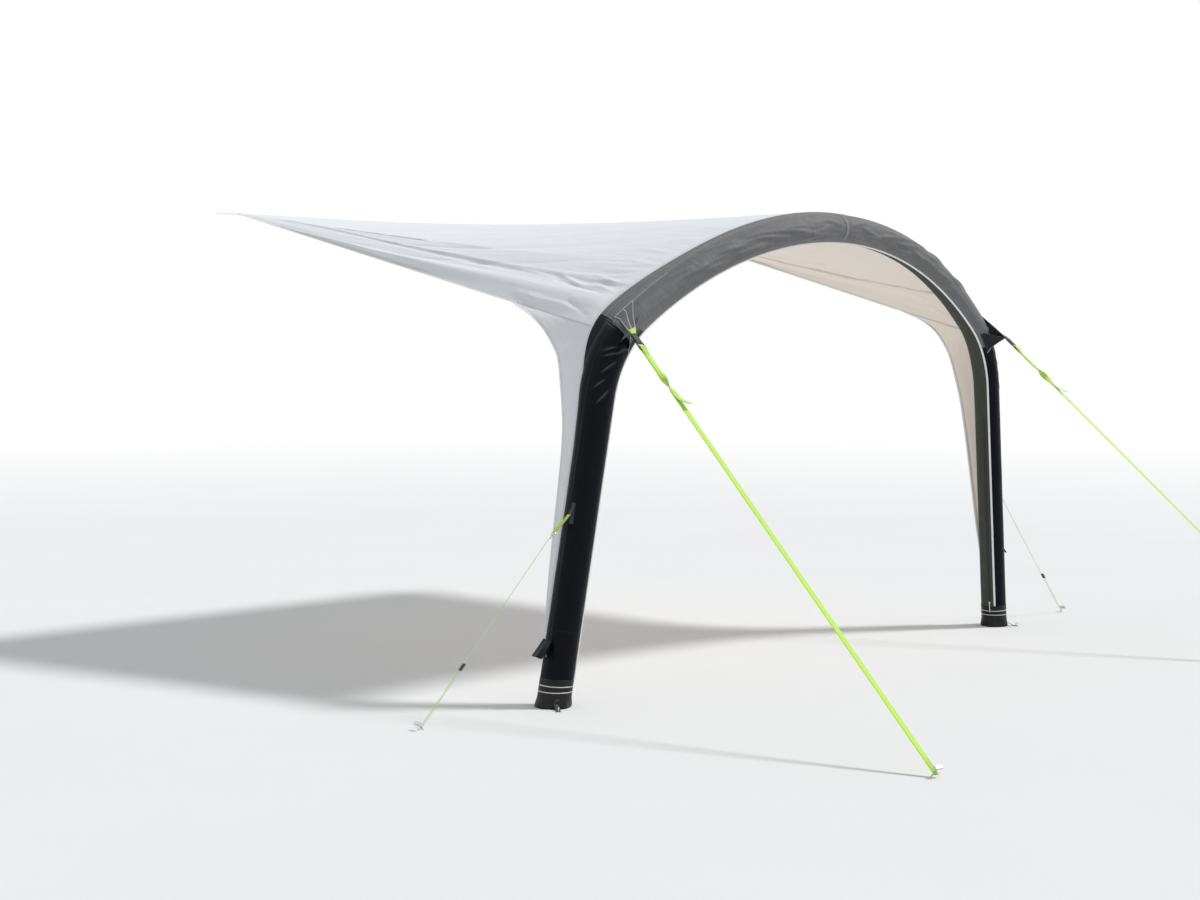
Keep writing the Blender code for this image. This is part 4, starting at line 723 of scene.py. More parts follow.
def panel_point(run, down):
    """Point of the roof before its folds, straight from the rail to the arch."""
    flip = run > HALF_RUN
    own = 2 * HALF_RUN - run if flip else run
    rear = rail_edge(rail_across(own))
    point = rear.lerp(front_edge(own), down)
    shift = KNEE - rail_edge(-HALF_WIDTH).lerp(front_edge(SHOULDER_SEAM), HEM_TURN_SHARE)
    share = down / HEM_TURN_SHARE if down < HEM_TURN_SHARE else (1 - down) / (1 - HEM_TURN_SHARE)
    point += shift * share * max(0.0, 1 - side_share(own) / 0.4) ** 2
    return MIRROR_X @ point if flip else point


def roof_run(u):
    """Run of a column of the cloth; the columns are closer together near the shoulders."""
    share = min(2 * u, 2 - 2 * u)
    run = SHOULDER_SEAM + (0.55 * share + 0.45 * share ** 2) * (HALF_RUN - SHOULDER_SEAM)
    return run if u <= 0.5 else 2 * HALF_RUN - run


def roof_place(u, v):
    """Point of the main cloth: u from left to right, v from the rail to the arch."""
    run = roof_run(u)
    point = panel_point(run, v)
    step = 0.01 if run < HALF_RUN else -0.01
    beside = panel_point(run + step, v) - point
    along = panel_point(run, min(v + 0.02, 1)) - panel_point(run, max(v - 0.02, 0))
    normal = beside.cross(along).normalized()
    if normal.z < 0:
        normal = -normal
    return point + normal * roof_fold(run, v)


def roof_rows():
    """Shares down the cloth, with one exactly at the knee of the hem."""
    return between(0, HEM_TURN_SHARE, FREE_ROWS) + between(HEM_TURN_SHARE, 1, SEWN_ROWS) + [1.0]


def wing_front(place):
    """Sewn edge of the wing, from the knee of the hem round the shoulder and down the leg."""
    if place <= 1:
        return panel_point(SHOULDER_SEAM, HEM_TURN_SHARE + (1 - HEM_TURN_SHARE) * place)
    return front_edge(SHOULDER_SEAM + (WING_STOP_RUN - SHOULDER_SEAM) * (place - 1))


def wing_corner(place):
    """Free edge of the wing before it is eased round the shoulder."""
    if place <= 1:
        return KNEE.lerp(hem_guide(SHOULDER_SEAM), place) + wing_fall(place)
    return hem_guide(SHOULDER_SEAM + (WING_STOP_RUN - SHOULDER_SEAM) * (place - 1)) + wing_fall(place)


def wing_edge(place):
    """Free edge of the wing."""
    ease = 0.11 * smooth_step(place / 0.5) * smooth_step((2 - place) / 0.3)
    near = [wing_corner(place + ease * step / 4) * (5 - abs(step)) for step in range(-4, 5)]
    return sum(near, Vector()) / 25


def wing_fall(place):
    """From the guide line to the free edge of the wing."""
    if place <= 1:
        shares = along_table(WING_SEAM_SHARES, place)
    else:
        shares = along_table(WING_LEG_SHARES, place - 1)
    return Vector((-shares.x, shares.y, -shares.z)) * WING_DEPTH


KNEE = knee_point()


def wing_places():
    """Stations of the wing, closer together round the shoulder."""
    return between(0, 1, SEWN_ROWS) + [1 + (step / LEG_ROWS) ** 1.35 for step in range(LEG_ROWS + 1)]


def wing_fold(place, out):
    """Soft folds that run down the wing from the shoulder."""
    hold = smooth_step(out / 0.2) * smooth_step(place / 0.5)
    shoulder = bump(place, 1.02, 0.10)
    height = 0.006 * shoulder * math.sin(math.pi * out) + 0.004 * math.sin(math.pi * out)
    height += 0.004 * shoulder * noise.noise(Vector((place * 30, out * 4, 2.2)))
    height += 0.003 * noise.noise(Vector((place * 5, out * 3.5, 5.5)))
    return height * hold


def make_canopy():
    """One continuous sheet: the roof from rail to arch, and a wing behind each leg."""
    work = bmesh.new()
    rows = roof_rows()
    last = len(rows) - 1
    seam = work.verts.layers.float.new("seam_distance")
    rim = work.verts.layers.float.new("rim_distance")
    spots = woven_grid(
        work, MAIN_COLUMNS, last, lambda u, v: roof_place(u, rows[round(v * last)]),
        flat=lambda u, v: (roof_run(u), rows[round(v * last)] * CLOTH_LENGTH),
    )
    for vert, (u, v) in spots.items():
        down = rows[round(v * last)]
        run = roof_run(min(u, 1 - u))
        seam_run = SHOULDER_SEAM + seam_share(down) * (HALF_RUN - SHOULDER_SEAM)
        apart = (panel_point(run, down) - panel_point(seam_run, down)).length
        edge = (panel_point(run, down) - panel_point(SHOULDER_SEAM, down)).length
        on_wing = down >= HEM_TURN_SHARE
        vert[seam] = min(apart, edge) if on_wing else apart
        vert[rim] = min((1 - down) * CLOTH_LENGTH, down * CLOTH_LENGTH, 1 if on_wing else edge)
    places = wing_places()
    far = len(places) - 1

    def left_wing(u, v):
        place = places[round(v * far)]
        fall = wing_edge(place) - wing_front(place)
        step = wing_front(min(place + 0.01, 2)) - wing_front(max(place - 0.01, 0))
        normal = fall.cross(step)
        normal = normal.normalized() if normal.length > 1e-9 else Vector()
        return wing_front(place) + fall * u + normal * wing_fold(place, u)

    for wing in (left_wing, lambda u, v: MIRROR_X @ left_wing(u, v)):
        spots = woven_grid(work, WING_COLUMNS, far, wing, (WING_DEPTH, 2.2))
        for vert, (u, v) in spots.items():
            place = places[round(v * far)]
            wide = (wing_edge(place) - wing_front(place)).length
            vert[seam] = u * wide if place <= 1 else 1.0
            vert[rim] = min(u if place > 1 else 1, 1 - u) * wide
    merge(work, 0.0002)
    if sum(face.normal.z * face.calc_area() for face in work.faces) < 0:
        bmesh.ops.reverse_faces(work, faces=work.faces)
    return thicken(new_piece("canopy_cloth", work), 0.0010, lining=1)


# Arch sleeve
SLEEVE_SIDES = 112
LEG_RINGS = 156
ROOF_RINGS = 144
SHOULDER_RINGS = 92
GATHER_RINGS = 26
CLOSE_FROM = 1.40
LEG_CLOTH_TOP = 1.765
LEG_CLOTH_RISE = 0.085
SLEEVE_LIFT = 0.0003
LEAST_CREASE = 0.0004
# Folds: run and degrees from the piping at each end
LEG_FOLDS = (
    (1.665, 135, 1.715, 80), (1.640, 128, 1.700, 58), (1.560, 116, 1.660, 60),
    (1.500, 128, 1.560, 82), (1.700, 70, 1.740, 40), (1.430, 110, 1.520, 60),
)
ARCH_FOLDS = (
    (2.68, 116, 3.12, 70), (2.50, 96, 2.66, 80), (2.84, 44, 3.00, 30), (2.36, 62, 2.52, 48),
    (2.92, 100, 3.10, 96), (2.14, 120, 2.30, 104), (3.16, 60, 3.30, 84), (2.60, 60, 2.80, 56),
    (2.76, 90, 2.96, 62), (3.00, 84, 3.22, 52), (3.10, 40, 3.26, 58), (2.70, 40, 2.78, 62),
    (3.26, 112, 3.38, 92), (2.44, 130, 2.60, 118), (3.20, 30, 3.36, 44), (2.24, 84, 2.40, 78),
)
# Smooth places under what is sewn on: run and its reach, degrees and their reach
SEWN_PLACES = ((0.915, 0.075, 135, 16), (0.235, 0.04, 168, 18), (0.455, 0.03, 146, 16))


def cloth_change(turn):
    """Run at which the leg's black cloth meets the grey cloth of the arch."""
    share = min(turn / SEAM_TURN, (2 * math.pi - turn) / (2 * math.pi - SEAM_TURN))
    return LEG_CLOTH_TOP + LEG_CLOTH_RISE * share ** 2


def sleeve_run(ring, turn):
    """Run of a ring of the sleeve; one ring follows the change of cloth."""
    change = cloth_change(turn)
    plain = LEG_RINGS - SHOULDER_RINGS
    if ring <= plain:
        return SLEEVE_BOTTOM + (CLOSE_FROM - SLEEVE_BOTTOM) * ring / plain
    if ring <= LEG_RINGS:
        return CLOSE_FROM + (change - CLOSE_FROM) * (ring - plain) / SHOULDER_RINGS
    upper = ring - LEG_RINGS
    start = change + 0.11
    if upper <= GATHER_RINGS:
        return change + (start - change) * upper / GATHER_RINGS
    return start + (HALF_RUN - start) * (upper - GATHER_RINGS) / (ROOF_RINGS - GATHER_RINGS)


def fold_height(run, degrees, fold, width):
    """Soft fold between two places on the sleeve."""
    scale = math.radians(1) * SLEEVE_RADIUS
    start = Vector((fold[0], fold[1] * scale))
    along = Vector((fold[2], fold[3] * scale)) - start
    here = Vector((run, degrees * scale)) - start
    share = min(max(here.dot(along) / along.length_squared, 0), 1)
    taper = math.sin(math.pi * (0.15 + 0.7 * share))
    return taper * math.exp(-((here - share * along).length / width) ** 2)


def gather(run, degrees):
    """Share of the tight gathers where the sling pulls at the change of cloth."""
    apart = run - cloth_change(math.radians(degrees))
    share = bump(apart, -0.004, 0.040) * bump(degrees, 158, 40)
    if share < 0.01:
        return 0.0
    wander = noise.noise(Vector((run * 30, degrees * 0.06, 4.1)))
    phase = apart / 0.0135 + degrees * 0.011 + 0.5 * wander
    return share * (0.5 + 0.5 * math.sin(2 * math.pi * phase))


def leg_slack(run, degrees):
    """Share of the crescent folds at the top of the leg."""
    near = [fold for fold in LEG_FOLDS if abs(run - fold[0]) < 0.2]
    return sum(fold_height(run, degrees, fold, 0.0085) for fold in near)


def sleeve_crease(run, turn, slack_leg=1.0):
    """Height of the creases in the sleeve, always outwards from the air tube."""
    degrees = math.degrees(turn) % 360
    from_piping = min(degrees, 360 - degrees)
    ring = Vector((run * 9, math.cos(turn) * 2, math.sin(turn) * 2))
    height = 0.0009 + 0.0007 * noise.noise(ring)
    height += 0.0068 * slack_leg * leg_slack(run, degrees)
    for fold in ARCH_FOLDS:
        if fold[0] - 0.1 < run < fold[2] + 0.1:
            height += 0.0082 * fold_height(run, degrees, fold, 0.0100)
    height += 0.0075 * slack_leg * gather(run, degrees)
    slack = smooth_step((run - LEG_RUN) / 0.3)
    ripple = noise.noise(Vector((run * 5 + degrees * 0.02, degrees * 0.09, 6.4)))
    height += 0.0034 * slack * max(0.0, ripple) * bump(degrees, 70, 60)
    height += 0.0014 * bump(degrees, 150, 2.5) * (1 - slack)
    quiet = (1 - bump(from_piping, 0, 12)) * smooth_step((HALF_RUN - run) / 0.05 + 0.25)
    quiet *= 1 - bump(degrees, 337.5, 9) * smooth_step((CLOSE_FROM - run) / 0.06)
    for at, reach, at_degrees, spread in SEWN_PLACES:
        quiet *= 1 - bump(run, at, reach) * bump(degrees, at_degrees, spread)
    quiet *= smooth_step((run - SLEEVE_BOTTOM) / 0.06)
    return LEAST_CREASE + (height - LEAST_CREASE) * quiet


def make_sleeve(slack_leg=1.0):
    """Sleeve of one half: black leg cloth, grey arch cloth and the inner panel."""
    work = bmesh.new()
    highlight_layer = work.verts.layers.float.new("ridge_highlight_share")
    total = LEG_RINGS + ROOF_RINGS

    def place(u, v):
        turn = 2 * math.pi * u
        run = sleeve_run(round(v * total), turn)
        return shell(run, turn, SLEEVE_LIFT + sleeve_crease(run, turn, slack_leg))

    def flat(u, v):
        turn = 2 * math.pi * u
        return turn * SLEEVE_RADIUS, sleeve_run(round(v * total), turn)

    spots = woven_grid(work, SLEEVE_SIDES, total, place, flat=flat)
    for vert, (u, v) in spots.items():
        run, degrees = flat(u, v)[1], 360 * u
        # Share of painted highlight: the ridges of the gathers and of the crescent folds are painted a light
        # grey there.
        vert[highlight_layer] = slack_leg * max(gather(run, degrees), 0.55 * leg_slack(run, degrees))
    for face in work.faces:
        u, v = sum((Vector(spots[vert]) for vert in face.verts), Vector((0, 0))) / len(face.verts)
        if 2 * math.pi * u > SEAM_TURN:
            face.material_index = 2
        else:
            face.material_index = 1 if v * total < LEG_RINGS else 0
    merge(work, 0.00005)
    middle = arch_frame(LEG_RUN / 2)[0]
    probe = min(work.faces, key=lambda face: (face.calc_center_median() - middle).length)
    if probe.normal.dot(probe.calc_center_median() - middle) < 0:
        bmesh.ops.reverse_faces(work, faces=work.faces)
    return thicken(new_piece("sleeve_cloth_left", work), 0.0006, -1)


# Piping, apex tape and hem binding
def welt(name, lines, half_width, half_thick, sides=10):
    """Flattened round edges, each along a route with a direction over its width at every point."""
    work = bmesh.new()
    for route, acrosses in lines:
        last = len(route) - 1

        def place(u, v):
            step = round(v * last)
            turn = 2 * math.pi * u
            ahead = route[min(step + 1, last)] - route[max(step - 1, 0)]
            up = ahead.cross(acrosses[step]).normalized()
            side = acrosses[step].normalized() * half_width * math.cos(turn)
            return route[step] + side + up * half_thick * math.sin(turn)

        woven_grid(work, sides, last, place, (2 * math.pi * half_width, route_length(route)))
    merge(work, half_thick / 50, sides)
    return new_piece(name, work)


def skin(run, turn, lift):
    """Point over the creased sleeve."""
    return shell(run, turn, SLEEVE_LIFT + sleeve_crease(run, turn) + lift)


def make_piping():
    """Round white cord down the inner front edge of the sleeve, with its sewn flange."""
    top = HALF_RUN - SEAM_GAP / 2
    runs = between(PIPING_BOTTOM, top, 150) + [top]
    cord = tube("piping_cord_left", [skin(run, 0, 0.0030) for run in runs], PIPING_RADIUS)
    half = math.radians(4.5)
    edges = [(skin(run, -half, 0.0007), skin(run, half, 0.0007)) for run in runs]
    route = [(first + second) / 2 for first, second in edges]
    acrosses = [second - first for first, second in edges]
    return cord, welt("piping_flange_left", [(route, acrosses)], HEM_HALF_WIDTH, 0.0007)


def make_apex_tape():
    """Stitched tape over the joint of the sleeve halves, round the front of the arch."""
    work = bmesh.new()

    def place(u, v):
        turn = math.radians(22.5 + 157.5 * v)
        off = 0.0095 * (2 * u - 1)
        crown = 0.0006 * (1 - (2 * u - 1) ** 2)
        point = skin(HALF_RUN - abs(off), turn, 0.0011 + crown)
        return MIRROR_X @ point if off > 0 else point

    woven_grid(work, 8, 60, place, (0.019, 0.20))
    return face_away(thicken(new_piece("apex_tape", work), 0.0008), centre(HALF_RUN))


def make_hem():
    """White binding folded over the free edge, from the rail corner to the foot."""
    route, acrosses = [], []
    for step in range(61):
        down = HEM_TURN_SHARE * (0.004 + 0.996 * step / 60)
        route.append(panel_point(SHOULDER_SEAM, down))
        acrosses.append(panel_point(SHOULDER_SEAM + 0.1, down))
    for place in wing_places()[1:]:
        route.append(wing_edge(place))
        acrosses.append(wing_front(place))
    last = len(route) - 1
    outs = []
    for step, (point, inner) in enumerate(zip(route, acrosses)):
        ahead = (route[min(step + 1, last)] - route[max(step - 1, 0)]).normalized()
        out = point - inner
        out = out - out.dot(ahead) * ahead
        outs.append(out.normalized() if out.length > 1e-5 else outs[-1])
    smooth = [sum(outs[max(step - 4, 0):step + 5], Vector()).normalized() for step in range(last + 1)]
    centres = [point - out * HEM_RADIUS for point, out in zip(route, smooth)]
    return welt("hem_binding_cloth_left", [(centres, smooth)], HEM_HALF_WIDTH, 0.0018, 12)


# Shoulder slings
# Sheets: run and degrees at both ends of the sewn edge, degrees where the sheet leaves
# the tube at both its edges, lift of its layer at the tip
SLING_RUN = 1.815
SLING_WRAP = 0.34
SLING_GAP = 0.0024
SLING_WALL = 0.0012
SLING_UPPER = ((1.955, 150), (1.835, 160), (132, 132), SLING_GAP)
SLING_MIDDLE = ((1.930, 84), (1.735, 84), (82, 82), 0.0)
SLING_SPREAD = ((1.948, 140), (1.722, 36), (134, 38), 0.0)
SLING_LOWER = ((1.870, 20), (1.715, 20), (40, 40), -SLING_GAP)


def sling_place(first, second, leave, lift):
    """Surface of one sling sheet, from its sewn edge round the tube to the tip."""
    def place(u, v):
        run = first[0] + (second[0] - first[0]) * u
        turn = first[1] + (second[1] - first[1]) * u
        on_tube = min(v / SLING_WRAP, 1)
        run += (SLING_RUN - run) * 0.18 * on_tube
        parting = leave[0] + (leave[1] - leave[0]) * u
        turn += (parting - turn) * on_tube
        seat = skin(run, math.radians(turn), 0.0018)
        if v <= SLING_WRAP:
            return seat
        share = (v - SLING_WRAP) / (1 - SLING_WRAP)
        narrow = 1 - 0.10 * math.sin(math.pi * share)
        end = STRAP_START - STRAP_WAY * 0.004 + STRAP_LIFT * lift
        point = seat.lerp(end + STRAP_SIDE * STRAP_WIDTH * (u - 0.5), share)
        middle = skin(SLING_RUN, math.radians((leave[0] + leave[1]) / 2), 0.0018).lerp(end, share)
        point = middle + (point - middle) * narrow
        crease = math.sin(9 * u + 1.2) * 0.0022 * math.sin(math.pi * share) ** 1.5
        return point + STRAP_LIFT * crease * (1 if lift > 0 else -1)
    return place


def make_sling(middle):
    """Cloth sling that wraps the shoulder and narrows to the strap."""
    work = bmesh.new()
    for sheet, length in ((SLING_UPPER, 0.22), (middle, 0.18), (SLING_LOWER, 0.20)):
        woven_grid(work, 20, 44, sling_place(*sheet), (0.12, length))
    sling = face_away(new_piece("sling_cloth_left", work), centre(SHOULDER_SEAM))
    return thicken(sling, SLING_WALL, lining=1)


def make_sling_binding():
    """Narrow light tapes along the edges and the middle of the sling's sheets."""
    lines = []

    def off_tube(point):
        return (point - centre(1.8)).normalized() * 0.001

    for base, places in ((SLING_UPPER, (0.03, 0.52, 0.97)), (SLING_LOWER, (0.97,))):
        sheet = sling_place(*base)
        away = STRAP_LIFT * math.copysign(SLING_WALL, base[3])
        alongs = [0.02 + 0.90 * step / 40 for step in range(41)]
        for u in places:
            edge = [sheet(u, v) for v in alongs]
            route = [
                point + (away if v > SLING_WRAP else off_tube(point)) for v, point in zip(alongs, edge)
            ]
            low, high = max(u - 0.03, 0), min(u + 0.03, 1)
            lines.append((route, [sheet(high, v) - sheet(low, v) for v in alongs]))
    sheet = sling_place(*SLING_UPPER)
    lift = off_tube(sheet(0.5, 0))
    sewn = [sheet(0.02 + 0.96 * step / 20, 0.02) + lift for step in range(21)]
    lines.append((sewn, [sheet(step / 20, 0.06) - sheet(step / 20, 0.0) for step in range(21)]))
    return welt("sling_binding_left", lines, 0.0022, 0.0007, 8)


def make_sling_patch():
    """Bright stitched patch that holds the webbing on the sling's tip."""
    work = bmesh.new()
    upper = sling_place(*SLING_UPPER)

    def place(u, v):
        crown = 0.0018 + 0.0006 * math.sin(math.pi * u)
        return upper(0.06 + 0.88 * u, 0.84 + 0.15 * v) + STRAP_LIFT * crown

    woven_grid(work, 8, 8, place, (0.028, 0.026))
    patch = face_away(new_piece("sling_patch_left", work), centre(SHOULDER_SEAM))
    return thicken(patch, SLING_WALL)


# Feet
BAND_RUNS = (0.074, 0.101)
BAND_HEIGHT = 0.0045


def cuff_point(run, turn, lift):
    """Point on the coated cuff: drawn in at its bands, puckered and flared below."""
    degrees = math.degrees(turn) % 360
    low = 1 - smooth_step((run - CUFF_BOTTOM) / 0.052)
    above = smooth_step((run - 0.095) / 0.03)
    pucker = noise.noise(Vector((math.cos(turn) * 3.1, math.sin(turn) * 3.1, run * 9)))
    fine = noise.noise(Vector((math.cos(turn) * 8, math.sin(turn) * 8, run * 26 + 3)))
    flare = 0.0015 + 0.0062 * (0.5 + 0.5 * math.cos(5 * turn + 0.8)) + 0.0030 * pucker
    flare += 0.0050 * bump(degrees, 168, 26)
    height = low * flare + 0.0010 * abs(fine) * (1 - above) + 0.0012 * above * max(0.0, pucker)
    return shell(run, turn, CUFF_OUT + max(0.0, height) + lift, draw=False)


def foot_sheet(name, start, height, rows, lift, wall):
    """Sheet round the foot, from a run upwards."""
    work = bmesh.new()
    woven_grid(
        work, SLEEVE_SIDES, rows, lambda u, v: cuff_point(start + height * v, 2 * math.pi * u, lift),
        (2 * math.pi * SLEEVE_RADIUS, height),
    )
    merge(work)
    return thicken(face_away(new_piece(name, work), centre(start + height / 2)), wall)


# Valve flaps
FLAP_THICK = 0.0016
FLAP_CURL = 0.006
FLAP_TAPER = 0.22
FLAP_LEAN = 0.012
HINGE_TAPE_START = 0.0055
HINGE_TAPE_HEIGHT = 0.014
HINGE_TAPE_WALL = 0.0009
# Flaps: run and both ends of the hinge in degrees, width, length, angle that it hangs open
VALVE_FLAP = (0.310, 157.5, 180.0, 0.082, 0.104, math.radians(34))
RELIEF_FLAP = (0.495, 135.0, 157.5, 0.056, 0.062, math.radians(30))


def flap_axes(run, near_turn, far_turn, hang):
    """Hinge centre, side, swing and lift directions of a flap."""
    tangent = arch_frame(run)[1]
    near, far = (
        shell(run, math.radians(turn), TOUCH + FLAP_THICK / 2, draw=False) for turn in (near_turn, far_turn)
    )
    side = (near - far).normalized()
    outward = side.cross(tangent).normalized()
    swing = math.sin(hang) * outward - math.cos(hang) * tangent
    lift = math.cos(hang) * outward + math.sin(hang) * tangent
    return (near + far) / 2, side, swing, lift


def make_flap(flap, name):
    """Cloth flap that hangs open over its valve, with a turned and stitched edge."""
    run, near_turn, far_turn, width, length, hang = flap
    hinge, side, swing, lift = flap_axes(run, near_turn, far_turn, hang)
    work = bmesh.new()

    def place(u, v):
        across = 2 * u - 1
        round_off = 1 - 0.05 * abs(across) ** 6
        curl = -FLAP_CURL * across ** 2 * v + 0.0015 * math.sin(5 * across + 1) * v
        edge = 0.0004 * (bump(v, 1, 0.06) + bump(abs(across), 1, 0.06))
        spread = width / 2 * across * (1 + FLAP_TAPER * v) + FLAP_LEAN * v
        return hinge + side * spread + swing * length * v * round_off + lift * (curl + edge)

    woven_grid(work, 24, 24, place, (width, length))
    return thicken(face_away(new_piece(name, work), hinge - lift * 0.2), FLAP_THICK)


def make_hinge_tape(flap, name):
    """Tape that sews the top of a flap to the sleeve."""
    run, near_turn, far_turn, width = flap[:4]
    middle = math.radians((near_turn + far_turn) / 2)
    half = width / 2 / SLEEVE_RADIUS * 0.98
    work = bmesh.new()

    def place(u, v):
        at = run + HINGE_TAPE_START + HINGE_TAPE_HEIGHT * v
        return skin(at, middle + half * (2 * u - 1), HINGE_TAPE_WALL)

    woven_grid(work, 20, 4, place, (width, HINGE_TAPE_HEIGHT))
    return thicken(face_away(new_piece(name, work), centre(run)), HINGE_TAPE_WALL)


# Making the pieces
def dress(piece, replaced=(), body="canopy"):
    """Ride a piece on its body and the nodes that it stands for."""
    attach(piece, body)
    if replaced:
        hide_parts(*replaced)
    return piece


def both_sides(piece, node=None):
    """A left piece and its mirrored copy on the right."""
    return [
        dress(on_side(side, piece), [node + "_" + side] if node else ())
        for side in ("left", "right")
    ]


canopy = dress(make_canopy(), (
    "roof_panel", "side_panel_left", "side_panel_right", "wing_panel_left", "wing_panel_right",
))
SLEEVES = [
    dress(make_sleeve(), ("arch_sleeve_left",)),
    dress(swap_side(make_sleeve(0.25), "sleeve_cloth_right"), ("arch_sleeve_right",)),
]
piping_cord, piping_flange = make_piping()
PIPING = both_sides(piping_cord, "arch_piping") + both_sides(piping_flange)
apex_tape = dress(make_apex_tape(), ("apex_seam_tape",))
HEMS = both_sides(make_hem(), "hem_binding")
right_sling = swap_side(make_sling(SLING_SPREAD), "sling_cloth_right")
SLINGS = [
    dress(make_sling(SLING_MIDDLE), ("shoulder_sling_left",)),
    dress(right_sling, ("shoulder_sling_right",)),
]
BINDINGS = both_sides(make_sling_binding())
PATCHES = both_sides(make_sling_patch())
cuff = foot_sheet("cuff_cloth_left", CUFF_BOTTOM, CUFF_TOP - CUFF_BOTTOM, 34, 0.0, 0.0012)
CUFFS = both_sides(cuff, "foot_cuff")
BANDS = []
for run, level in zip(BAND_RUNS, ("lower", "upper")):
    band = foot_sheet("cuff_band_" + level + "_left", run, BAND_HEIGHT, 3, 0.0014, 0.0006)
    BANDS += both_sides(band, "foot_band_" + level)
valve_flap = make_flap(VALVE_FLAP, "valve_flap_cloth")
valve_tape = make_hinge_tape(VALVE_FLAP, "valve_flap_tape")
relief_flap = swap_side(make_flap(RELIEF_FLAP, "relief_flap_left"), "relief_flap_cloth")
relief_tape = swap_side(make_hinge_tape(RELIEF_FLAP, "relief_tape_left"), "relief_flap_tape")
for node, flap, tape in (("valve_flap", valve_flap, valve_tape), ("relief_flap", relief_flap, relief_tape)):
    dress(flap, (node,), node)
    dress(tape)


# Shader helpers
class Shader:
    """Short ways to add nodes to the tree of a material or a world."""

    def __init__(self, tree):
        self.tree = tree

    def put(self, kind, inputs=None, **settings):
        """A shader node with its inputs set or linked."""
        node = self.tree.nodes.new("ShaderNode" + kind)
        for name, value in settings.items():
            setattr(node, name, value)
        for key, value in (inputs or {}).items():
            if isinstance(value, bpy.types.NodeSocket):
                self.tree.links.new(value, node.inputs[key])
            else:
                node.inputs[key].default_value = value
        return node

    def calc(self, operation, *values):
        """Result of one sum."""
        return self.put("Math", dict(enumerate(values)), operation=operation).outputs[0]

    def times(self, first, second):
        """Product of two values."""
        return self.calc("MULTIPLY", first, second)

    def more(self, first, second):
        """The larger of two values."""
        return self.calc("MAXIMUM", first, second)

    def span(self, value, low, high, out_low=0.0, out_high=1.0):
        """A value stretched from one range to another, and held inside it."""
        inputs = {0: value, 1: low, 2: high, 3: out_low, 4: out_high}
        return self.put("MapRange", inputs, clamp=True).outputs[0]

    def wave(self, place, pitch, turns=1):
        """Sine wave along a length, with a pitch in metres."""
        return self.calc("SINE", self.times(place, turns * 2 * math.pi / pitch))

    def plain_rays(self):
        """1 for rays that show or mirror a surface, 0 for those that only carry its light."""
        rays = self.put("LightPath").outputs
        return self.more(self.more(rays["Is Camera Ray"], rays["Is Glossy Ray"]), rays["Is Transmission Ray"])

    def cover(self, share, first, second, output):
        """Mix two shaders into the output."""
        mix = self.put("MixShader", {0: share, 1: first.outputs[0], 2: second.outputs[0]})
        self.tree.links.new(mix.outputs[0], self.tree.nodes[output].inputs["Surface"])


class Finish(Shader):
    """A material in the making: its Principled shader, its colour and the tone built up on it."""

    def __init__(self, name, colour, rough, metallic=0.0, sheen=0.0, gloss=0.5):
        self.material = bpy.data.materials.new(name)
        self.material.use_nodes = True
        super().__init__(self.material.node_tree)
        self.colour = colour
        self.surface = self.tree.nodes["Principled BSDF"]
        inputs = self.surface.inputs
        inputs["Roughness"].default_value = rough
        inputs["Metallic"].default_value = metallic
        inputs["Sheen Weight"].default_value = sheen
        inputs["Specular IOR Level"].default_value = gloss
        places = self.put("TexCoord").outputs
        self.body, self.lay = places["Object"], places["UV"]
        self.tone = None

    def speckle(self, scale, detail=3.0, where=None):
        """Fractal noise from 0 to 1."""
        inputs = {"Vector": where or self.body, "Scale": scale, "Detail": detail}
        return self.put("TexNoise", inputs).outputs["Fac"]

    def stretched(self, where, scale):
        """Place that is stretched before noise reads it."""
        return self.put("Mapping", {"Vector": where, "Scale": scale}).outputs[0]

    def parts(self, where):
        """The three lengths of a place."""
        return self.put("SeparateXYZ", {0: where}).outputs

    def reading(self, name):
        """A value kept on the mesh's points."""
        return self.put("Attribute", attribute_name=name).outputs["Fac"]

    def shade(self, factor):
        """The colour made lighter or darker."""
        return tuple(min(1.0, channel * factor) for channel in self.colour) + (1.0,)

    def mix(self, share, first, second):
        """Mix of two colours."""
        return self.put("Mix", {0: share, 6: first, 7: second}, data_type="RGBA").outputs[2]

    def start(self, share, first, second):
        """Begin the tone as a mix of two shades."""
        self.tone = self.mix(share, self.shade(first), self.shade(second))

    def tint(self, share, factor):
        """Turn the tone by a share to a shade of the colour."""
        self.tone = self.mix(share, self.tone, self.shade(factor))

    def threads(self, pitch):
        """Over and under of a plain weave, with threads of a pitch in metres."""
        inputs = {"Vector": self.lay, "Scale": 0.314159 / pitch}
        rows = [self.put("TexWave", inputs, bands_direction=way).outputs["Fac"] for way in "XY"]
        return self.times(*rows)

    def stitches(self, distance, at, along, pitch=0.0042, width=0.0009):
        """Dashes of thread at a distance from an edge."""
        band = self.calc("COMPARE", distance, at, width)
        return self.times(band, self.calc("GREATER_THAN", self.wave(along, pitch), -0.35))

    def done(self, heights=(), rough=None):
        """Link tone and roughness, and chain bumps, each a height with its depth in metres."""
        inputs = self.surface.inputs
        self.tree.links.new(self.tone, inputs["Base Color"])
        if rough:
            self.tree.links.new(self.span(*rough) if isinstance(rough, tuple) else rough, inputs["Roughness"])
        normal = {}
        for height, depth in heights:
            bump_inputs = {"Height": height, "Distance": depth, "Strength": 1.0, **normal}
            normal = {"Normal": self.put("Bump", bump_inputs).outputs["Normal"]}
        if normal:
            self.tree.links.new(normal["Normal"], inputs["Normal"])
        return self.material


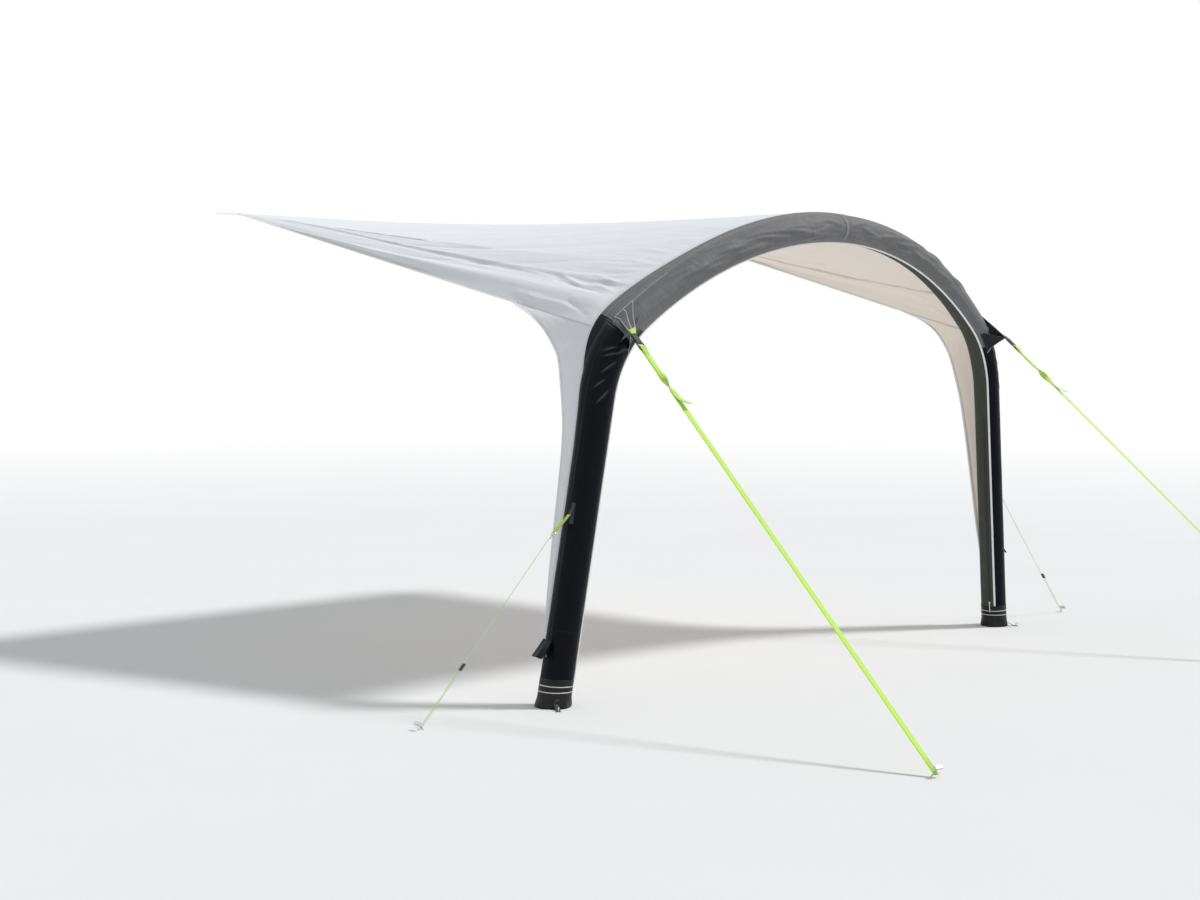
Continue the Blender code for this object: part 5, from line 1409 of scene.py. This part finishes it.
def cloth_finish(
    name, colour, rough=0.8, pitch=0.0011, mottle=0.06, sheen=0.0, seams=False, ripple=0.0006,
    gloss=0.3, lines=(), drawn=(8, 8, 0.0004), ridge_highlight_colour=None,
):
    """Woven cloth: threads, soft cockling, seams, slight unevenness of the dye, and a painted highlight on the
    ridges of folds where asked.

    Each of lines is an axis of the flat cloth, its place, how far it runs and its shade; a shade above 1 paints
    a light line, dust on the seam's ridge together with a painted highlight along it.
    """
    make = Finish(name, colour, rough, sheen=sheen, gloss=gloss)
    weave = make.threads(pitch)
    slub = make.speckle(34, 3)
    parts = make.parts(make.lay)
    make.start(make.speckle(2.2, 4), 1 - mottle, 1 + mottle)
    make.tint(make.span(slub, 0.35, 0.65, 0, 0.35), 1 - 1.4 * mottle)
    make.tint(make.times(weave, 0.16), 0.72)
    heights = [(make.speckle(16, 2), ripple * 2), (slub, ripple), (weave, 0.00012)]
    if seams:
        apart = make.calc("ABSOLUTE", make.reading("seam_distance"))
        rim = make.reading("rim_distance")
        sewn = make.stitches(apart, 0.0055, parts[1])
        for at in (0.0075, 0.0125):
            sewn = make.more(sewn, make.stitches(rim, at, parts[0]))
        double = make.more(make.span(apart, 0.0090, 0.0068), make.span(rim, 0.0175, 0.0150))
        join = make.span(apart, 0.0022, 0.0008)
        make.tint(make.times(double, seams), 0.80)
        make.tint(make.times(join, 0.8), 0.62)
        make.tint(make.times(sewn, 0.5), 0.70)
        heights += [(double, 0.0009), (sewn, -0.0003), (join, -0.0006)]
    # Painted highlight: where the mesh's highlight share is high, the tone turns to a light grey that stands
    # for light on the ridges of folds.
    if ridge_highlight_colour:
        make.tone = make.mix(make.span(make.reading("ridge_highlight_share"), 0.30, 0.75), make.tone, ridge_highlight_colour)
    pulled = make.stretched(make.lay, (drawn[0], drawn[1], 1))
    heights.append((make.speckle(1.0, 4, pulled), drawn[2]))
    # Seam lines: a shade below 1 is a dark joint; a shade above 1 paints the line light, dust on the ridge
    # together with a painted highlight along it.
    for axis, at, end, light in lines:
        band = make.calc("COMPARE", parts[axis], at, 0.0012)
        held = make.calc("LESS_THAN", parts[1 - axis], end)
        beside = make.calc("ABSOLUTE", make.calc("SUBTRACT", parts[axis], at))
        sewn = make.stitches(beside, 0.0045, parts[1 - axis])
        make.tint(make.times(band, held), light)
        make.tint(make.times(sewn, held), 1.8)
        heights.append((make.span(beside, 0.009, 0.007), 0.0005))
    return make.done(heights, (slub, 0.3, 0.7, rough - 0.06, min(rough + 0.06, 1)))


def webbing_finish(name, colour, flat=True, dark_above=None):
    """Ribbed polyester webbing, seen by its own length and width."""
    make = Finish(name, colour, 0.62, sheen=0.25)
    parts = make.parts(make.lay if flat else make.body)
    down, across = (parts[1], parts[0]) if flat else (parts[2], make.calc("ADD", parts[0], parts[1]))
    over = make.span(make.times(make.wave(down, 0.0021), make.wave(across, 0.0030)), -0.6, 0.6)
    wear = make.speckle(60, 4)
    make.start(over, 0.78, 1.04)
    make.tint(make.span(wear, 0.5, 0.8, 0, 0.5), 0.80)
    if dark_above is not None:
        level = make.span(make.parts(make.body)[2], dark_above, dark_above + 0.003)
        make.tone = make.mix(level, make.tone, (0.016, 0.016, 0.018, 1))
    return make.done([(over, 0.0004), (wear, 0.0002)])


def braid_finish(name, colour):
    """Braided cord with a fleck in its strands."""
    make = Finish(name, colour, 0.55, sheen=0.2)
    around, along = make.parts(make.lay)[:2]
    waves = []
    for sign in (1, -1):
        turned = make.times(around, sign * 6 * math.pi / 0.0094)
        slant = make.calc("ADD", turned, make.times(along, 2 * math.pi / 0.0042))
        waves.append(make.calc("SINE", slant))
    strands = make.span(make.times(*waves), -0.5, 0.5)
    make.start(strands, 0.62, 1.12)
    fleck = make.times(make.calc("GREATER_THAN", waves[0], 0.86), 0.6)
    make.tone = make.mix(fleck, make.tone, (0.75, 0.78, 0.70, 1))
    return make.done([(strands, 0.0005)])


def plastic_finish(name, colour, rough=0.42):
    """Moulded plastic with a fine grain and worn edges."""
    make = Finish(name, colour, rough)
    grain, scuffs = make.speckle(900, 2), make.speckle(45, 6)
    make.start(make.span(scuffs, 0.55, 0.75), 0.95, 1.7)
    return make.done([(scuffs, 0.0002), (grain, 0.0001)], (scuffs, 0.4, 0.7, rough - 0.06, rough + 0.2))


def metal_finish(name, colour, rough=0.34):
    """Zinc-plated steel with drawn streaks and dull spots."""
    make = Finish(name, colour, rough, metallic=1.0)
    drawn = make.speckle(700, 3, make.stretched(make.body, (1, 1, 0.06)))
    spots = make.speckle(110, 4)
    make.start(make.span(spots, 0.45, 0.7), 1.05, 0.72)
    streaks = make.span(drawn, 0.3, 0.7, rough - 0.08, rough + 0.1)
    grey = make.calc("ADD", streaks, make.span(spots, 0.5, 0.8, 0, 0.2))
    return make.done([(drawn, 0.00008), (spots, 0.0001)], grey)


def coated_finish(name, colour, rough=0.38):
    """PVC-coated cloth with a satin face and small crinkles."""
    make = Finish(name, colour, rough, gloss=0.22)
    crinkle, dust = make.speckle(48, 5), make.speckle(14, 5)
    make.start(make.span(dust, 0.45, 0.8), 1.0, 1.7)
    heights = [(crinkle, 0.0020), (make.threads(0.0016), 0.0001)]
    return make.done(heights, (crinkle, 0.35, 0.7, rough - 0.08, rough + 0.22))


def tape_finish(name, colour):
    """Reflective tape: a fine honeycomb under a rubbed face."""
    make = Finish(name, colour, 0.34, metallic=0.25)
    cells = make.put("TexVoronoi", {"Vector": make.body, "Scale": 700.0}).outputs["Distance"]
    rub = make.speckle(60, 5)
    make.start(make.span(cells, 0.1, 0.6), 1.05, 0.80)
    make.tint(make.span(rub, 0.5, 0.75, 0, 0.6), 0.6)
    return make.done([(cells, 0.0001), (rub, 0.0003)])


def film_finish(name, colour):
    """Thin film with soft ripples."""
    make = Finish(name, colour, 0.3)
    ripples = make.speckle(26, 4)
    make.start(ripples, 0.92, 1.06)
    return make.done([(ripples, 0.0012)])


def zip_finish(name, colour):
    """Zip tape with its coil down the middle."""
    make = Finish(name, colour, 0.6)
    coil = make.wave(make.parts(make.body)[2], 0.0026)
    fuzz = make.speckle(220, 3)
    make.start(make.span(coil, 0.0, 0.8), 0.7, 2.4)
    make.tint(make.times(fuzz, 0.3), 1.5)
    return make.done([(coil, 0.0006), (fuzz, 0.0002)])


ROOF_COLOUR = (0.81, 0.825, 0.85)
LINING_COLOUR = (0.93, 0.85, 0.76)
ARCH_COLOUR = (0.140, 0.140, 0.148)
LEG_COLOUR = (0.0045, 0.0058, 0.0088)
INNER_COLOUR = (0.062, 0.066, 0.057)
WHITE = (0.90, 0.90, 0.90)
LIME = (0.58, 0.96, 0.065)

roof_cloth = cloth_finish(
    "roof cloth outside", ROOF_COLOUR, 0.62, seams=0.25, mottle=0.025, drawn=(42, 5, 0.0022),
)
roof_lining = cloth_finish(
    "roof cloth lining", LINING_COLOUR, 0.85, seams=1.0, mottle=0.02, drawn=(30, 5, 0.0010),
)
# Seam lines round the sleeve. The panel seam at 150 degrees is painted light on the leg and the lower arch:
# dust on its ridge together with a painted highlight along it.
PIPING_LINE, PANEL_LINE, ROOF_LINE, POCKET_LINE, INNER_LINE = (
    SLEEVE_RADIUS * math.radians(degrees) for degrees in (7, 150, 198, 290, 352)
)
WHOLE = 9
arch_cloth = cloth_finish(
    "arch cloth grey", ARCH_COLOUR, 0.60, pitch=0.0018, mottle=0.14, sheen=0.10, drawn=(9, 46, 0.0022),
    lines=((0, PANEL_LINE, 2.20, 3.2), (0, ROOF_LINE, WHOLE, 0.7), (0, PIPING_LINE, WHOLE, 0.7)),
)
leg_cloth = cloth_finish(
    "leg cloth black", LEG_COLOUR, 0.34, pitch=0.0018, mottle=0.15, gloss=0.07, drawn=(14, 12, 0.0022),
    # Painted highlight: this light grey is painted on the ridges of the leg's gathers and crescent folds.
    ridge_highlight_colour=(0.13, 0.13, 0.14, 1),
    lines=(
        (0, PANEL_LINE, WHOLE, 4.0), (0, ROOF_LINE, WHOLE, 1.6), (0, PIPING_LINE, WHOLE, 1.4),
        (1, 0.36, 0.20, 2.6),
    ),
)
inner_cloth = cloth_finish(
    "sleeve inner panel", INNER_COLOUR, 0.75, pitch=0.0018, mottle=0.08, gloss=0.15,
    lines=((0, INNER_LINE, WHOLE, 0.6), (0, POCKET_LINE, WHOLE, 0.4)),
)
# Inside of the slings: black, partly the sling cloth's own black and partly painted shade for the inner faces
# seen in shade; the outside wears the arch's grey cloth.
sling_inside = cloth_finish("sling inside", LEG_COLOUR, 0.55, pitch=0.0018, mottle=0.15)
white_cloth = cloth_finish("white binding", WHITE, 0.6, pitch=0.0009, mottle=0.03, ripple=0.0002)
seam_cloth = cloth_finish("seam tape grey", (0.24, 0.24, 0.25), 0.7, pitch=0.0012, mottle=0.10)
binding_cloth = cloth_finish("sling binding", (0.55, 0.55, 0.56), 0.7, pitch=0.0012, mottle=0.10)
cover_cloth = cloth_finish("tube cover cloth", (0.25, 0.26, 0.28), 0.8, mottle=0.06)
cuff_coat = coated_finish("cuff coating", (0.010, 0.010, 0.011))
pad_coat = coated_finish("pad coating", (0.022, 0.022, 0.024), 0.5)
silver_tape = tape_finish("reflective tape", (0.70, 0.71, 0.72))
tube_film = film_finish("tube film", (0.75, 0.77, 0.78))
lime_web = webbing_finish("lime webbing", LIME)
tab_web = webbing_finish("guy tab webbing", LIME, flat=False, dark_above=-1.532)
black_web = webbing_finish("black webbing", (0.022, 0.022, 0.024), flat=False)
lime_cord = braid_finish("lime braided cord", LIME)
black_plastic = plastic_finish("black plastic", (0.022, 0.022, 0.023))
grey_plastic = plastic_finish("grey plastic", (0.30, 0.31, 0.33))
zinc = metal_finish("zinc-plated steel", (0.62, 0.63, 0.65))
zip_tape = zip_finish("zip tape", (0.020, 0.020, 0.022))


def wear(pieces, *finishes):
    """Give pieces their finishes, slot by slot."""
    for piece in pieces:
        for finish in finishes:
            piece.data.materials.append(finish)


wear([canopy], roof_cloth, roof_lining)
wear(SLEEVES, arch_cloth, leg_cloth, inner_cloth)
wear(PIPING + HEMS, white_cloth)
wear([apex_tape], seam_cloth)
wear(SLINGS, arch_cloth, sling_inside)
wear(BINDINGS, binding_cloth)
wear(STRAPS + PATCHES, lime_web)
wear(LINES, lime_cord)
wear(CUFFS, cuff_coat)
wear(BANDS, silver_tape)
wear([valve_flap, relief_flap, valve_tape, relief_tape], leg_cloth)

KEPT = {
    "rail_bead": white_cloth, "bead_tape": white_cloth, "air_bladder": tube_film, "bladder_cover": cover_cloth,
    "valve_body": grey_plastic, "valve_cap": black_plastic, "relief_valve": grey_plastic,
    "base_pad": pad_coat, "sleeve_zip": zip_tape, "zip_slider": zinc, "sling_webbing": black_web,
    "strap_buckle": black_plastic, "storm_peg": zinc, "guy_peg": zinc, "foot_peg": zinc, "guy_patch": black_web,
    "guy_tab": tab_web, "guy_ring": zinc, "line_runner": black_plastic, "foot_loop": black_web,
}
for name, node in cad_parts.items():
    stem = name.rsplit("_", 1)[0] if name.endswith(("_left", "_right")) else name
    if stem in KEPT:
        for holder in node.material_slots:
            holder.material = KEPT[stem]

# Area of each sling's cloth, worked out and not kept
for sling in SLINGS:
    cloth_area(sling)


# Floor and light
def make_floor():
    """Plain pale ground, which runs out to white far away."""
    work = bmesh.new()
    bmesh.ops.create_grid(work, x_segments=4, y_segments=4, size=60)
    bmesh.ops.translate(work, vec=GROUND + Vector((0, 0, -0.0002)), verts=work.verts)
    floor = new_piece("floor", work, smooth=False)
    make = Finish("floor", (1.0, 1.0, 1.0), 0.95)
    make.tone = make.mix(make.speckle(0.8, 3), make.shade(0.80), make.shade(0.83))
    make.tint(make.put("LightPath").outputs["Is Diffuse Ray"], 0.84)
    floor.data.materials.append(make.done())
    flat = make.put("VectorMath", {0: make.body, 1: (1, 1, 0)}, operation="MULTIPLY").outputs[0]
    away = make.put("VectorMath", {0: flat}, operation="LENGTH").outputs["Value"]
    share = make.times(make.span(away, 7.0, 22.0), make.plain_rays())
    glow = make.put("Emission", {"Color": (1, 1, 1, 1), "Strength": 1.0})
    make.cover(share, make.surface, glow, "Material Output")


def make_light():
    """High soft sun from the front right, and an even pale sky that reflects as white."""
    lamp = bpy.data.lights.new("sun", "SUN")
    lamp.energy = 2.15
    lamp.angle = math.radians(9)
    sun = bpy.data.objects.new("sun", lamp)
    sun.rotation_euler = Vector((0.47, -0.40, 0.79)).to_track_quat("Z", "Y").to_euler()
    bpy.context.scene.collection.objects.link(sun)
    world = bpy.data.worlds.new("sky")
    world.use_nodes = True
    bpy.context.scene.world = world
    sky = Shader(world.node_tree)
    light = world.node_tree.nodes["Background"]
    light.inputs["Color"].default_value = (0.94, 0.97, 1.0, 1)
    light.inputs["Strength"].default_value = 0.5
    white = sky.put("Background", {"Color": (1, 1, 1, 1), "Strength": 1.0})
    sky.cover(sky.plain_rays(), light, white, "World Output")


make_floor()
make_light()
